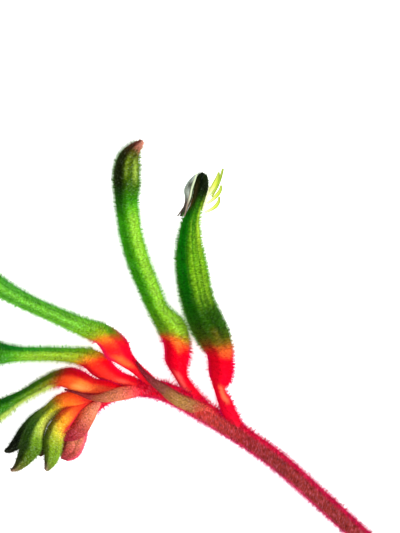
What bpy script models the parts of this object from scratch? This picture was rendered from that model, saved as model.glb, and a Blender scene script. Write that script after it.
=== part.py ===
"""A cut flower head of a red and green kangaroo paw, lying on its side.

All lengths below are in millimetres in the plane that the head lies on: +X to the right, +Y up along the
tall flowers, +Z away from the surface. A station is (x, y, z, width): a point on a piece's middle line and
its width there.
"""

import math

import bmesh
import bpy
from mathutils import Vector

MM = 0.001
FRAME_SHIFT = (-0.1, 4.0)  # moves the middle of the head's box to the origin
GAP = 0.3  # between two solids that meet
WELD = 0.001
STEM_SIDES = 16
STEM_STEP = 6.5  # length of stem between two rings
TUBE_SIDES = 18
TUBE_STEP = 4.2
BASE_SIDES = 12
BASE_STEP = 3.4
TUBE_HEIGHT = 0.95  # height of a section over its width
LOBES = 6  # a tube is six lobes grown together
RIB_DEPTH = 0.075  # depth of the groove between two lobes, over the radius
HEAD_RIB_DEPTH = 0.17
HEAD_LENGTH = 0.24  # share of the tube that its swollen head takes
PLAIN_RINGS = 2  # over its first rings the tube turns from round to ribbed
POINT = 0.6  # length of a tube's last point over the width that it closes
BRACT_THICKNESS = 0.8
BRACT_STEP = 2.6
BRACT_COLUMNS = 6
BRACT_ARCH = 0.2  # rise of a bract's middle over its width

STEM_STATIONS = [
    (93.0, -103.0, 2.75, 6.3),
    (82.0, -81.0, 2.8, 6.2),
    (67.0, -62.5, 3.1, 6.0),
    (49.2, -45.0, 3.8, 5.9),
    (35.3, -32.2, 4.5, 5.9),
    (21.6, -20.0, 5.3, 6.1),
    (10.8, -12.1, 6.0, 6.2),
    (0.0, -5.6, 6.5, 6.1),
    (-7.2, -1.4, 6.7, 5.9),
    (-14.4, 2.7, 6.9, 5.6),
    (-21.6, 5.9, 7.0, 5.2),
    (-28.8, 6.7, 7.0, 4.6),
    (-34.2, 5.6, 7.0, 3.9),
    (-38.9, 3.8, 7.0, 3.3),
    (-42.8, 1.3, 6.9, 2.8),
    (-45.8, -1.5, 6.8, 2.4),
]

# Each bloom runs from its root inside the stem, over its ovary, to its tube's tip. One station starts the tube.
BLOOMS = {
    "flower_a": {
        "tube_from": 6,
        "stations": [
            (-5.8, 0.1, 6.4, 4.4),
            (-9.7, 5.8, 6.2, 4.3),
            (-13.0, 10.4, 6.1, 3.9),
            (-14.6, 13.7, 6.1, 6.2),
            (-15.5, 17.3, 6.1, 8.8),
            (-15.5, 21.0, 6.1, 9.1),
            (-15.9, 24.5, 6.0, 9.4),
            (-17.0, 28.6, 5.9, 10.0),
            (-19.2, 32.2, 5.8, 9.2),
            (-21.6, 35.6, 5.7, 7.6),
            (-23.9, 39.8, 5.6, 7.1),
            (-27.0, 47.0, 5.4, 7.4),
            (-29.8, 54.5, 5.1, 7.7),
            (-32.0, 62.0, 4.7, 7.6),
            (-33.1, 69.0, 4.3, 7.5),
            (-33.8, 75.0, 4.05, 7.9),
            (-33.9, 80.3, 3.95, 9.2),
            (-33.9, 85.0, 4.0, 9.5),
            (-33.4, 89.6, 4.2, 8.2),
            (-31.9, 93.0, 4.6, 5.9),
            (-28.5, 95.9, 5.2, 1.4),
        ],
    },
    "flower_b": {
        "tube_from": 8,
        "stations": [
            (7.2, -9.0, 6.4, 4.4),
            (4.7, -4.3, 7.6, 4.2),
            (2.7, -0.7, 8.9, 4.1),
            (1.6, 2.9, 10.0, 4.2),
            (0.7, 6.5, 10.8, 4.3),
            (0.2, 10.1, 11.4, 6.7),
            (0.2, 13.7, 11.8, 8.9),
            (0.1, 17.3, 12.0, 9.0),
            (-0.4, 21.2, 12.2, 9.6),
            (-2.0, 25.0, 12.3, 11.4),
            (-4.0, 28.8, 12.3, 12.1),
            (-5.8, 32.6, 12.3, 12.1),
            (-7.4, 36.6, 12.4, 11.5),
            (-8.9, 42.0, 12.5, 11.2),
            (-9.9, 48.0, 12.6, 11.1),
            (-10.7, 54.0, 12.7, 10.2),
            (-11.0, 59.0, 12.8, 8.6),
            (-10.8, 64.0, 12.7, 7.1),
            (-10.2, 68.0, 12.6, 5.8),
            (-9.0, 71.5, 12.5, 4.5),
            (-7.9, 75.0, 12.4, 4.5),
            (-6.9, 78.9, 12.3, 5.4),
            (-6.5, 81.8, 12.2, 5.0),
            (-6.3, 83.6, 12.1, 3.6),
            (-6.3, 84.3, 12.1, 1.8),
        ],
    },
    "flower_c": {
        "tube_from": 6,
        "stations": [
            (-22.7, 7.0, 7.0, 4.2),
            (-26.3, 10.6, 8.2, 4.2),
            (-30.2, 14.4, 9.2, 4.6),
            (-34.0, 17.8, 9.9, 6.6),
            (-37.2, 21.2, 10.4, 8.5),
            (-39.9, 24.6, 10.7, 8.8),
            (-42.9, 26.8, 10.8, 7.9),
            (-46.6, 28.2, 10.9, 6.7),
            (-50.4, 29.7, 10.9, 5.9),
            (-57.6, 32.8, 11.0, 5.3),
            (-64.8, 36.1, 11.2, 5.3),
            (-72.0, 39.6, 11.3, 5.7),
            (-79.2, 43.8, 11.5, 6.7),
            (-84.6, 48.2, 11.6, 7.3),
            (-89.0, 53.4, 11.8, 8.0),
            (-91.6, 59.0, 11.9, 8.2),
            (-92.4, 64.0, 12.0, 7.0),
            (-91.4, 68.0, 12.2, 4.8),
            (-88.8, 70.9, 12.4, 1.3),
        ],
    },
    "flower_d": {
        "tube_from": 5,
        "stations": [
            (-28.1, 6.1, 6.9, 3.4),
            (-32.0, 8.0, 6.4, 3.2),
            (-36.4, 10.4, 6.0, 3.4),
            (-40.3, 13.0, 5.7, 5.2),
            (-43.4, 15.6, 5.5, 6.8),
            (-47.0, 17.6, 5.3, 6.6),
            (-50.4, 18.5, 5.2, 5.7),
            (-54.0, 18.9, 5.1, 5.0),
            (-60.5, 19.2, 5.0, 4.6),
            (-67.0, 19.2, 4.9, 4.5),
            (-72.0, 19.3, 4.7, 4.8),
            (-75.8, 19.4, 4.5, 5.9),
            (-79.6, 19.6, 4.4, 7.5),
            (-84.0, 20.4, 4.4, 8.5),
            (-88.4, 22.4, 4.5, 8.3),
            (-91.8, 25.4, 4.7, 6.1),
            (-93.6, 29.0, 5.2, 1.4),
        ],
    },
    "flower_e": {
        "tube_from": 5,
        "stations": [
            (-35.3, 5.2, 7.0, 3.6),
            (-40.5, 7.0, 8.2, 4.2),
            (-45.8, 8.9, 9.0, 6.2),
            (-50.4, 10.2, 9.4, 8.2),
            (-54.0, 10.9, 9.6, 7.7),
            (-57.6, 10.8, 9.7, 6.5),
            (-61.2, 9.7, 9.9, 5.4),
            (-64.8, 8.0, 10.0, 4.6),
            (-68.4, 5.9, 10.1, 4.2),
            (-72.0, 3.9, 10.3, 4.3),
            (-75.6, 1.8, 10.5, 5.3),
            (-79.2, -0.4, 10.7, 7.1),
            (-83.4, -2.6, 10.9, 7.8),
            (-87.6, -3.9, 11.0, 6.9),
            (-90.8, -4.3, 11.1, 4.6),
            (-93.2, -3.6, 11.2, 1.2),
        ],
    },
    "bud_1": {
        "tube_from": 4,
        "stations": [
            (-43.0, 0.9, 6.6, 2.2),
            (-46.2, 1.4, 4.2, 2.1),
            (-50.0, 1.6, 2.7, 2.7),
            (-53.8, 1.0, 2.3, 3.6),
            (-57.6, 0.2, 2.3, 4.6),
            (-61.9, -1.8, 2.4, 5.0),
            (-66.2, -4.7, 2.5, 5.6),
            (-69.8, -8.6, 2.5, 5.8),
            (-73.1, -12.4, 2.6, 4.4),
            (-76.2, -15.0, 2.8, 2.0),
            (-77.8, -15.7, 3.0, 0.9),
        ],
    },
    "bud_2": {
        "tube_from": 4,
        "stations": [
            (-39.6, 3.2, 7.0, 2.6),
            (-43.2, 3.8, 7.7, 2.6),
            (-47.4, 3.6, 8.0, 3.8),
            (-52.5, 2.7, 8.1, 6.6),
            (-57.2, 1.8, 8.5, 6.9),
            (-61.2, -0.4, 8.9, 5.9),
            (-64.6, -4.0, 9.1, 5.9),
            (-67.0, -8.6, 9.3, 6.5),
            (-68.5, -13.2, 9.2, 6.6),
            (-70.4, -17.6, 8.9, 5.4),
            (-73.0, -21.2, 8.4, 2.9),
            (-75.2, -22.5, 8.0, 1.0),
        ],
    },
    "bud_3": {
        "tube_from": 4,
        "stations": [
            (-44.4, 0.0, 6.6, 1.9),
            (-46.8, -1.9, 4.4, 1.9),
            (-50.2, -4.2, 2.9, 2.5),
            (-53.4, -6.0, 2.5, 3.5),
            (-56.4, -7.8, 2.6, 4.2),
            (-59.2, -10.4, 2.7, 4.6),
            (-61.4, -13.6, 2.9, 4.2),
            (-63.2, -16.6, 3.1, 2.4),
            (-64.4, -18.0, 3.2, 0.9),
        ],
    },
    "bud_4": {
        "tube_from": 4,
        "stations": [
            (-42.8, 1.4, 7.2, 2.3),
            (-45.6, 1.1, 9.6, 2.3),
            (-49.4, -1.0, 11.7, 3.8),
            (-52.9, -2.8, 12.6, 5.9),
            (-56.0, -4.4, 12.4, 6.7),
            (-58.4, -7.0, 11.8, 6.4),
            (-59.8, -10.8, 11.1, 6.8),
            (-60.3, -15.1, 10.2, 6.0),
            (-61.2, -19.1, 9.4, 4.2),
            (-62.6, -22.2, 8.8, 1.3),
        ],
    },
}

TERMINAL_BUD_HEIGHT = 0.55  # of a section over its width
TERMINAL_BUD_STEP = 2.6
SMALL_POINT = 0.8
TERMINAL_BUD_STATIONS = [
    (-45.6, -1.3, 6.8, 2.0),
    (-48.8, -4.8, 6.8, 5.0),
    (-51.1, -8.4, 6.8, 7.4),
    (-52.4, -11.8, 6.8, 7.8),
    (-53.4, -15.4, 6.7, 6.6),
    (-54.8, -18.6, 6.5, 2.6),
]

BRACTS = {
    "bract_stem": [
        (-4.3, -1.4, 9.7, 4.8),
        (-10.8, 1.1, 10.5, 5.2),
        (-16.2, 3.8, 10.6, 4.9),
        (-20.9, 7.4, 10.9, 3.6),
        (-25.2, 10.6, 11.7, 2.2),
        (-28.6, 14.4, 12.7, 1.4),
        (-31.3, 18.4, 13.5, 0.8),
    ],
    "bract_side": [
        (-28.4, 6.4, 9.2, 3.6),
        (-32.4, 5.8, 10.1, 4.6),
        (-36.0, 5.1, 10.9, 5.2),
        (-39.6, 4.6, 11.4, 4.9),
        (-43.2, 4.0, 11.8, 4.2),
        (-46.8, 4.1, 12.2, 2.9),
        (-50.4, 5.2, 12.7, 1.5),
        (-55.1, 6.8, 13.2, 0.8),
    ],
    "bract_end": [
        (-42.2, 0.0, 8.3, 2.2),
        (-45.0, -2.0, 9.3, 3.0),
        (-47.2, -3.8, 10.0, 4.6),
        (-49.0, -5.5, 10.4, 6.0),
        (-50.9, -7.2, 10.5, 6.6),
        (-53.2, -9.0, 10.4, 4.6),
        (-55.6, -10.6, 10.1, 1.4),
    ],
}

# The open flower's mouth: lobes fold back on its left, stamens and style stand on its right.
MOUTH_LINE = [
    (-6.5, 84.0, 12.1),
    (-6.6, 81.7, 12.2),
    (-7.0, 78.5, 12.3),
    (-7.7, 75.6, 12.4),
    (-8.7, 73.1, 12.5),
    (-9.4, 70.9, 12.5),
    (-9.9, 69.0, 12.5),
]
LOBE_REACH = [1.9, 4.5, 5.6, 4.7, 4.1, 4.3, 4.9]  # from the mouth's line, at each of its points
LOBE_WIDTH = [1.9, 2.0, 2.1, 2.0, 1.7, 1.3, 0.8]
LOBE_FAN = math.radians(58)  # angle from the middle of the fan to its outer lobes
LOBE_CLOSING = 0.4  # share of that angle that the lobes lose towards their tips
LOBE_THICKNESS = 0.7
LOBE_SIDES = 6
LOBE_STEP = 2.4

THROAT_STATIONS = [
    (-3.4, 79.8, 12.3, 0.9),
    (-3.9, 77.3, 12.3, 0.9),
    (-4.8, 74.4, 12.4, 0.9),
    (-5.9, 71.2, 12.5, 0.9),
]
THROAT_HEIGHT = 3.8  # height of the strip over its thickness
THROAT_STEP = 2.2
STAMEN_SIDES = 8
STAMEN_STEP = 1.3
STYLE_STEP = 1.8
STAMEN_DEPTH = 1.35  # from the middle of the comb to the tips of each of its two rows
STAMEN_FOOT = 0.8  # share of that depth at the feet
STAMENS = [
    [
        (-3.6, 76.9, 0.8),
        (-3.2, 77.9, 1.1),
        (-2.0, 79.6, 1.5),
        (-0.9, 82.0, 1.3),
        (-0.5, 84.6, 0.7),
    ],
    [
        (-4.4, 73.7, 0.8),
        (-3.2, 74.4, 0.9),
        (-1.4, 75.8, 1.2),
        (-0.2, 77.6, 1.2),
        (0.2, 79.4, 0.7),
    ],
    [
        (-5.3, 70.9, 0.8),
        (-3.8, 71.4, 0.9),
        (-2.0, 72.4, 1.2),
        (-0.8, 73.9, 1.2),
        (-0.3, 75.8, 0.7),
    ],
]
STYLE_STATIONS = [
    (-3.1, 75.6, 12.35, 0.75),
    (-1.6, 79.0, 12.4, 0.75),
    (-0.4, 81.6, 12.5, 0.75),
    (0.5, 83.9, 12.6, 0.75),
    (1.0, 85.9, 12.7, 0.8),
]

# Where pieces crowd at their roots, the first is cut to leave the gap to the second.
YIELDS = {
    "bract_stem": ["flower_a_base"],
    "bract_side": ["flower_e_base"],
    "bract_end": ["bud_4_base", "terminal_bud"],
    "bud_1_base": ["bud_2_base", "bud_3_base", "bud_4_base"],
    "bud_2_base": ["bud_4_base"],
    "terminal_bud": ["bud_3_base"],
}

COLOURS = {
    "stem": (0.42, 0.03, 0.06),
    "base": (0.85, 0.02, 0.03),
    "tube": (0.10, 0.36, 0.02),
    "bud": (0.22, 0.33, 0.03),
    "pink": (0.72, 0.14, 0.14),
    "bract": (0.42, 0.17, 0.09),
    "lobe": (0.62, 0.62, 0.46),
    "stamen": (0.66, 0.76, 0.06),
}


def clear_scene():
    for old in list(bpy.data.objects):
        bpy.data.objects.remove(old, do_unlink=True)


def new_collection(name):
    made = bpy.data.collections.new(name)
    bpy.context.scene.collection.children.link(made)
    return made


def material(name):
    """One plain finish for a kind of piece, made once."""
    if name in bpy.data.materials:
        return bpy.data.materials[name]
    made = bpy.data.materials.new(name)
    made.use_nodes = True
    shader = made.node_tree.nodes["Principled BSDF"]
    shader.inputs["Base Color"].default_value = (*COLOURS[name], 1.0)
    shader.inputs["Roughness"].default_value = 0.6
    shader.inputs["Metallic"].default_value = 0.0
    return made


def smooth(stations, step):
    """Samples about one step apart on the smooth curve through the stations, and each station's place in them."""
    knots = [Vector(station) for station in stations]
    along = [0.0]
    for before, after in zip(knots, knots[1:]):
        along.append(along[-1] + (after - before).xyz.length)
    slopes = []
    for i in range(len(knots)):
        low = max(i - 1, 0)
        high = min(i + 1, len(knots) - 1)
        slopes.append((knots[high] - knots[low]) / (along[high] - along[low]))
    samples = [knots[0]]
    marks = [0]
    for i in range(len(knots) - 1):
        length = along[i + 1] - along[i]
        count = max(1, round(length / step))
        for k in range(1, count + 1):
            t = k / count
            keep = 2 * t**3 - 3 * t**2 + 1
            lead = t**3 - 2 * t**2 + t
            trail = t**3 - t**2
            samples.append(
                knots[i] * keep
                + slopes[i] * (lead * length)
                + knots[i + 1] * (1 - keep)
                + slopes[i + 1] * (trail * length)
            )
        marks.append(len(samples) - 1)
    return samples, marks


def headings(samples):
    """The direction of the curve at each sample."""
    last = len(samples) - 1
    return [
        (samples[min(i + 1, last)] - samples[max(i - 1, 0)]).xyz.normalized()
        for i in range(len(samples))
    ]


def groove(angle, lobes, depth):
    """The radius of a section made of round lobes, as a share of its full radius."""
    return 1 - depth * (1 - abs(math.sin(lobes * angle / 2)))


def section(centre, across, upward, width, height, sides, lobes=0, depth=0.0):
    """One ring of points, counter-clockwise from the across direction to the upward one."""
    ring = []
    for k in range(sides):
        angle = 2 * math.pi * k / sides
        share = groove(angle, lobes, depth) if lobes else 1.0
        ring.append(
            centre
            + across * (width / 2 * share * math.cos(angle))
            + upward * (height / 2 * share * math.sin(angle))
        )
    return ring


def flat_frame(heading):
    """The level direction across a heading, and the one that stands on both."""
    across = Vector((0, 0, 1)).cross(heading).normalized()
    return across, heading.cross(across)


def loft(name, rings, apex=None):
    """A closed mesh through rings of equal count, ending in a flat face or in a point."""
    sides = len(rings[0])
    shift = Vector((*FRAME_SHIFT, 0))
    mesh = bmesh.new()
    rows = []
    for ring in rings:
        row = []
        for point in ring:
            laid = point + shift
            laid.z = max(laid.z, 0.0)  # what would sink under the surface is pressed flat on it
            row.append(mesh.verts.new(laid * MM))
        rows.append(row)
    for low, high in zip(rows, rows[1:]):
        for k in range(sides):
            n = (k + 1) % sides
            mesh.faces.new((low[k], high[k], high[n], low[n]))
    mesh.faces.new(rows[0])
    if apex is None:
        mesh.faces.new(list(reversed(rows[-1])))
    else:
        tip = mesh.verts.new((apex + shift) * MM)
        for k in range(sides):
            mesh.faces.new((rows[-1][k], tip, rows[-1][(k + 1) % sides]))
    bmesh.ops.recalc_face_normals(mesh, faces=mesh.faces)
    data = bpy.data.meshes.new(name)
    mesh.to_mesh(data)
    mesh.free()
    return data


def add_object(name, data, finish, collection):
    made = bpy.data.objects.new(name, data)
    data.materials.clear()
    data.materials.append(material(finish))
    for face in data.polygons:
        face.use_smooth = True
    collection.objects.link(made)
    return made


def boolean(piece, operation, operand):
    cut = piece.modifiers.new(operation.title(), "BOOLEAN")
    cut.operation = operation
    cut.solver = "EXACT"
    cut.object = operand


def apply_modifiers(piece):
    """Gives the piece the mesh that its modifiers make."""
    graph = bpy.context.evaluated_depsgraph_get()
    data = bpy.data.meshes.new_from_object(piece.evaluated_get(graph))
    piece.modifiers.clear()
    piece.data = data


def round_rings(stations, step, sides, extra=0.0, height=1.0):
    samples, _ = smooth(stations, step)
    rings = []
    for sample, heading in zip(samples, headings(samples)):
        across, upward = flat_frame(heading)
        width = sample.w + extra
        rings.append(section(sample.xyz, across, upward, width, width * height, sides))
    return rings


def tip_point(samples, reach):
    """A point just past the last sample, which closes a tapering piece."""
    return samples[-1].xyz + headings(samples)[-1] * reach


def round_tube(name, stations, step, sides, extra=0.0):
    """A round tube of changing width: a bevelled curve, made a mesh whose caps are welded."""
    samples, _ = smooth(stations, step)
    curve = bpy.data.curves.new(name, "CURVE")
    curve.dimensions = "3D"
    curve.twist_mode = "Z_UP"
    curve.bevel_depth = MM / 2  # a point's radius is then the tube's width there, in millimetres
    curve.bevel_resolution = (sides - 4) // 2
    curve.use_fill_caps = True
    line = curve.splines.new("POLY")
    line.points.add(len(samples) - 1)
    for point, sample in zip(line.points, samples):
        x, y, z = sample.xyz + Vector((*FRAME_SHIFT, 0))
        point.co = (x * MM, y * MM, z * MM, 1.0)
        point.radius = sample.w + extra
    holder = bpy.data.objects.new(name, curve)
    bpy.context.scene.collection.objects.link(holder)
    graph = bpy.context.evaluated_depsgraph_get()
    data = bpy.data.meshes.new_from_object(holder.evaluated_get(graph))
    bpy.data.objects.remove(holder, do_unlink=True)
    mesh = bmesh.new()
    mesh.from_mesh(data)
    bmesh.ops.remove_doubles(mesh, verts=mesh.verts, dist=WELD * MM)
    for vertex in mesh.verts:
        vertex.co.z = max(vertex.co.z, 0.0)
    mesh.to_mesh(data)
    mesh.free()
    return data


def make_stem(collection):
    data = round_tube("stem", STEM_STATIONS, STEM_STEP, STEM_SIDES)
    return add_object("stem", data, "stem", collection)


def add_cutter(name, data, collection):
    """A helper that is subtracted from a neighbour and is no piece itself."""
    cutter = add_object(name, data, "stem", collection)
    cutter.display_type = "WIRE"
    cutter.hide_render = True
    return cutter


def make_stem_cutter(collection):
    """The stem, fatter by the gap all round: what grows on the stem is cut to its surface by it."""
    *before, (x, y, z, width) = STEM_STATIONS
    ahead = (Vector(STEM_STATIONS[-1]) - Vector(STEM_STATIONS[-2])).xyz.normalized()
    end = (*(Vector((x, y, z)) + ahead * GAP), width)
    data = round_tube("stem_cutter", [*before, end], STEM_STEP, STEM_SIDES, 2 * GAP)
    return add_cutter("stem_cutter", data, collection)


def base_rings(bloom, extra=0.0):
    """The rings of a bloom's stalk and ovary; the last stands one gap short of the tube."""
    samples, marks = smooth(bloom["stations"], BASE_STEP)
    last = marks[bloom["tube_from"]]
    ways = headings(samples)
    rings = []
    for sample, heading in zip(samples[: last + 1], ways):
        across, upward = flat_frame(heading)
        centre = sample.xyz
        if sample is samples[last]:
            centre = centre - heading * (GAP - extra / 2)
        width = sample.w + extra
        height = width * TUBE_HEIGHT
        rings.append(section(centre, across, upward, width, height, BASE_SIDES))
    return rings


def tube_loft(name, bloom):
    """The ribbed tube, whose grooves deepen where its head's lobes close."""
    samples, marks = smooth(bloom["stations"], TUBE_STEP)
    first = marks[bloom["tube_from"]]
    ways = headings(samples)[first:]
    samples = samples[first:]
    rings = []
    last = len(samples) - 1
    for i, (sample, heading) in enumerate(zip(samples, ways)):
        across, upward = flat_frame(heading)
        in_head = max(0.0, (i / last - 1 + HEAD_LENGTH) / HEAD_LENGTH)
        ribbed = min(1.0, i / PLAIN_RINGS)
        depth = RIB_DEPTH * ribbed + (HEAD_RIB_DEPTH - RIB_DEPTH) * in_head
        height = sample.w * TUBE_HEIGHT
        ring = section(
            sample.xyz, across, upward, sample.w, height, TUBE_SIDES, LOBES, depth
        )
        rings.append(ring)
    return loft(name, rings, tip_point(samples, samples[-1].w * POINT))


def make_bloom(name, bloom, stem_cutter, collection, finish):
    """A bloom's red stalk and ovary, cut to the stem, and its green tube."""
    data = loft(f"{name}_base", base_rings(bloom))
    base = add_object(f"{name}_base", data, "base", collection)
    boolean(base, "DIFFERENCE", stem_cutter)
    add_object(f"{name}_tube", tube_loft(f"{name}_tube", bloom), finish, collection)


def terminal_bud_rings(extra=0.0):
    return round_rings(
        TERMINAL_BUD_STATIONS,
        TERMINAL_BUD_STEP,
        BASE_SIDES,
        extra,
        TERMINAL_BUD_HEIGHT,
    )


def make_terminal_bud(stem_cutter, collection):
    samples, _ = smooth(TERMINAL_BUD_STATIONS, TERMINAL_BUD_STEP)
    tip = tip_point(samples, SMALL_POINT)
    data = loft("terminal_bud", terminal_bud_rings(), tip)
    bud = add_object("terminal_bud", data, "pink", collection)
    boolean(bud, "DIFFERENCE", stem_cutter)


def make_bract(name, stations, stem_cutter, collection):
    """An arched leaf-like sheet, solid by Solidify, whose foot is cut to the stem."""
    samples, _ = smooth(stations, BRACT_STEP)
    shift = Vector((*FRAME_SHIFT, 0))
    mesh = bmesh.new()
    rows = []
    for sample, heading in zip(samples, headings(samples)):
        across, upward = flat_frame(heading)
        row = []
        for k in range(BRACT_COLUMNS + 1):
            u = 2 * k / BRACT_COLUMNS - 1
            fall = BRACT_ARCH * sample.w * (u * u)
            place = sample.xyz + across * (u * sample.w / 2) - upward * fall
            row.append(mesh.verts.new((place + shift) * MM))
        rows.append(row)
    for low, high in zip(rows, rows[1:]):
        for k in range(BRACT_COLUMNS):
            mesh.faces.new((low[k], low[k + 1], high[k + 1], high[k]))
    data = bpy.data.meshes.new(name)
    mesh.to_mesh(data)
    mesh.free()
    bract = add_object(name, data, "bract", collection)
    shell = bract.modifiers.new("Thickness", "SOLIDIFY")
    shell.thickness = BRACT_THICKNESS * MM
    shell.offset = 0.0
    boolean(bract, "DIFFERENCE", stem_cutter)


def make_room(collection):
    """Cuts each crowded piece clear of the fattened form of the neighbours that it yields to."""
    for name, neighbours in YIELDS.items():
        for neighbour in neighbours:
            if neighbour == "terminal_bud":
                rings = terminal_bud_rings(2 * GAP)
            else:
                rings = base_rings(BLOOMS[neighbour.removesuffix("_base")], 2 * GAP)
            data = loft(neighbour, rings)
            cutter = add_cutter(f"{neighbour}_from_{name}", data, collection)
            boolean(bpy.data.objects[name], "DIFFERENCE", cutter)


def union(name, meshes, finish, collection):
    """One body out of several closed meshes."""
    group = new_collection(f"{name}_members")
    first = add_object(name, meshes[0], finish, collection)
    for i, data in enumerate(meshes[1:]):
        add_object(f"{name}_member_{i}", data, finish, group)
    join = first.modifiers.new("Union", "BOOLEAN")
    join.operation = "UNION"
    join.solver = "EXACT"
    join.operand_type = "COLLECTION"
    join.collection = group
    apply_modifiers(first)
    for member in list(group.objects):
        bpy.data.objects.remove(member, do_unlink=True)
    bpy.data.collections.remove(group)
    return first


def make_lobes(collection):
    """Six blades in a fan that spring from the top of the mouth and hang down behind it."""
    blades = []
    centres = [Vector(point) for point in MOUTH_LINE]
    left = Vector((-1, 0, 0))
    upward = Vector((0, 0, 1))
    last = len(centres) - 1
    for number in range(LOBES):
        turn = LOBE_FAN * (2 * number / (LOBES - 1) - 1)
        stations = []
        aims = []
        for i, centre in enumerate(centres):
            aim = turn * (1 - LOBE_CLOSING * i / last)
            out = left * math.cos(aim) + upward * math.sin(aim)
            aims.append(aim)
            stations.append((*(centre + out * LOBE_REACH[i]), LOBE_WIDTH[i]))
        samples, marks = smooth(stations, LOBE_STEP)
        rings = []
        for i, (sample, heading) in enumerate(zip(samples, headings(samples))):
            station = max(k for k, mark in enumerate(marks) if mark <= i)
            aim = aims[station]
            across = upward * math.cos(aim) - left * math.sin(aim)
            across = (across - heading * across.dot(heading)).normalized()
            through = heading.cross(across)
            rings.append(
                section(
                    sample.xyz, across, through, sample.w, LOBE_THICKNESS, LOBE_SIDES
                )
            )
        blades.append(loft(f"lobe_{number}", rings, tip_point(samples, SMALL_POINT)))
    return union("flower_b_lobes", blades, "lobe", collection)


def make_stamens(collection):
    """Two rows of three stamens that stand on the pale strip along the throat."""
    depth = THROAT_STATIONS[0][2]
    strip = round_rings(
        THROAT_STATIONS, THROAT_STEP, STAMEN_SIDES, height=THROAT_HEIGHT
    )
    members = [loft("throat", strip)]
    for row in (-1, 1):
        for number, path in enumerate(STAMENS):
            stations = []
            for i, (x, y, width) in enumerate(path):
                share = STAMEN_FOOT + (1 - STAMEN_FOOT) * i / (len(path) - 1)
                stations.append((x, y, depth + row * STAMEN_DEPTH * share, width))
            name = f"stamen_{number}"
            members.append(round_tube(name, stations, STAMEN_STEP, STAMEN_SIDES))
    return union("flower_b_stamens", members, "stamen", collection)


def make_style(collection):
    data = round_tube("flower_b_style", STYLE_STATIONS, STYLE_STEP, STAMEN_SIDES)
    return add_object("flower_b_style", data, "stamen", collection)


def main():
    clear_scene()
    head = new_collection("kangaroo_paw")
    cutters = new_collection("cutters")
    cutter = make_stem_cutter(cutters)
    make_stem(head)
    for name, bloom in BLOOMS.items():
        finish = "bud" if name.startswith("bud") else "tube"
        make_bloom(name, bloom, cutter, head, finish)
    make_terminal_bud(cutter, head)
    for name, stations in BRACTS.items():
        make_bract(name, stations, cutter, head)
    make_room(cutters)
    make_lobes(head)
    make_stamens(head)
    make_style(head)


main()
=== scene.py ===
import math

import bpy
import numpy as np
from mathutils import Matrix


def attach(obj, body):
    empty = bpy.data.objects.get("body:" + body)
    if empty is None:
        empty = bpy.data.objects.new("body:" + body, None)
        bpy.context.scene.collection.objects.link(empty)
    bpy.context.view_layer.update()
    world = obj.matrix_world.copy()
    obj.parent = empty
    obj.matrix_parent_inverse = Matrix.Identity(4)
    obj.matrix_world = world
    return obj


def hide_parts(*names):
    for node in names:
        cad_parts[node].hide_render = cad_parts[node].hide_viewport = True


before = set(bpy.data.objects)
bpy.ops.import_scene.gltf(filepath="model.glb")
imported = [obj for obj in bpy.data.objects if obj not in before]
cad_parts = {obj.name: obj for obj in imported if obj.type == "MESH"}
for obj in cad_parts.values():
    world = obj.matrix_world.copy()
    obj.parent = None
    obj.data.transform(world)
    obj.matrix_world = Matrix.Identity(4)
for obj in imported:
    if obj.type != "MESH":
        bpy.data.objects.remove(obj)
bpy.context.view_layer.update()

mm = 0.001
frameShift = (-0.1, 4.0)  # from the stations' own origin to the middle of the part's box, in mm

# How the flower is looked at and lit. Lengths are in mm, the middle is the place under the photo's centre.
studio = {
    "middle": (-7.3, 54.94),
    "fieldHeight": 191.9,  # what the photo's height spans at the flowers' own height
    "flowerHeight": 8.0,
    "cameraDistance": 760.0,
    "sensorHeight": 24.0,
    "floorColour": (0.93, 0.93, 0.93),
    "floorSize": 4000.0,
    "floorGlow": 0.8,  # keeps the paper white under the flowers
    "skyStrength": 0.86,
    "keyFrom": (420.0, -330.0, 620.0),  # a soft lamp, low on the right
    "keySize": 330.0,
    "keyPower": 5.2,
}


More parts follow.
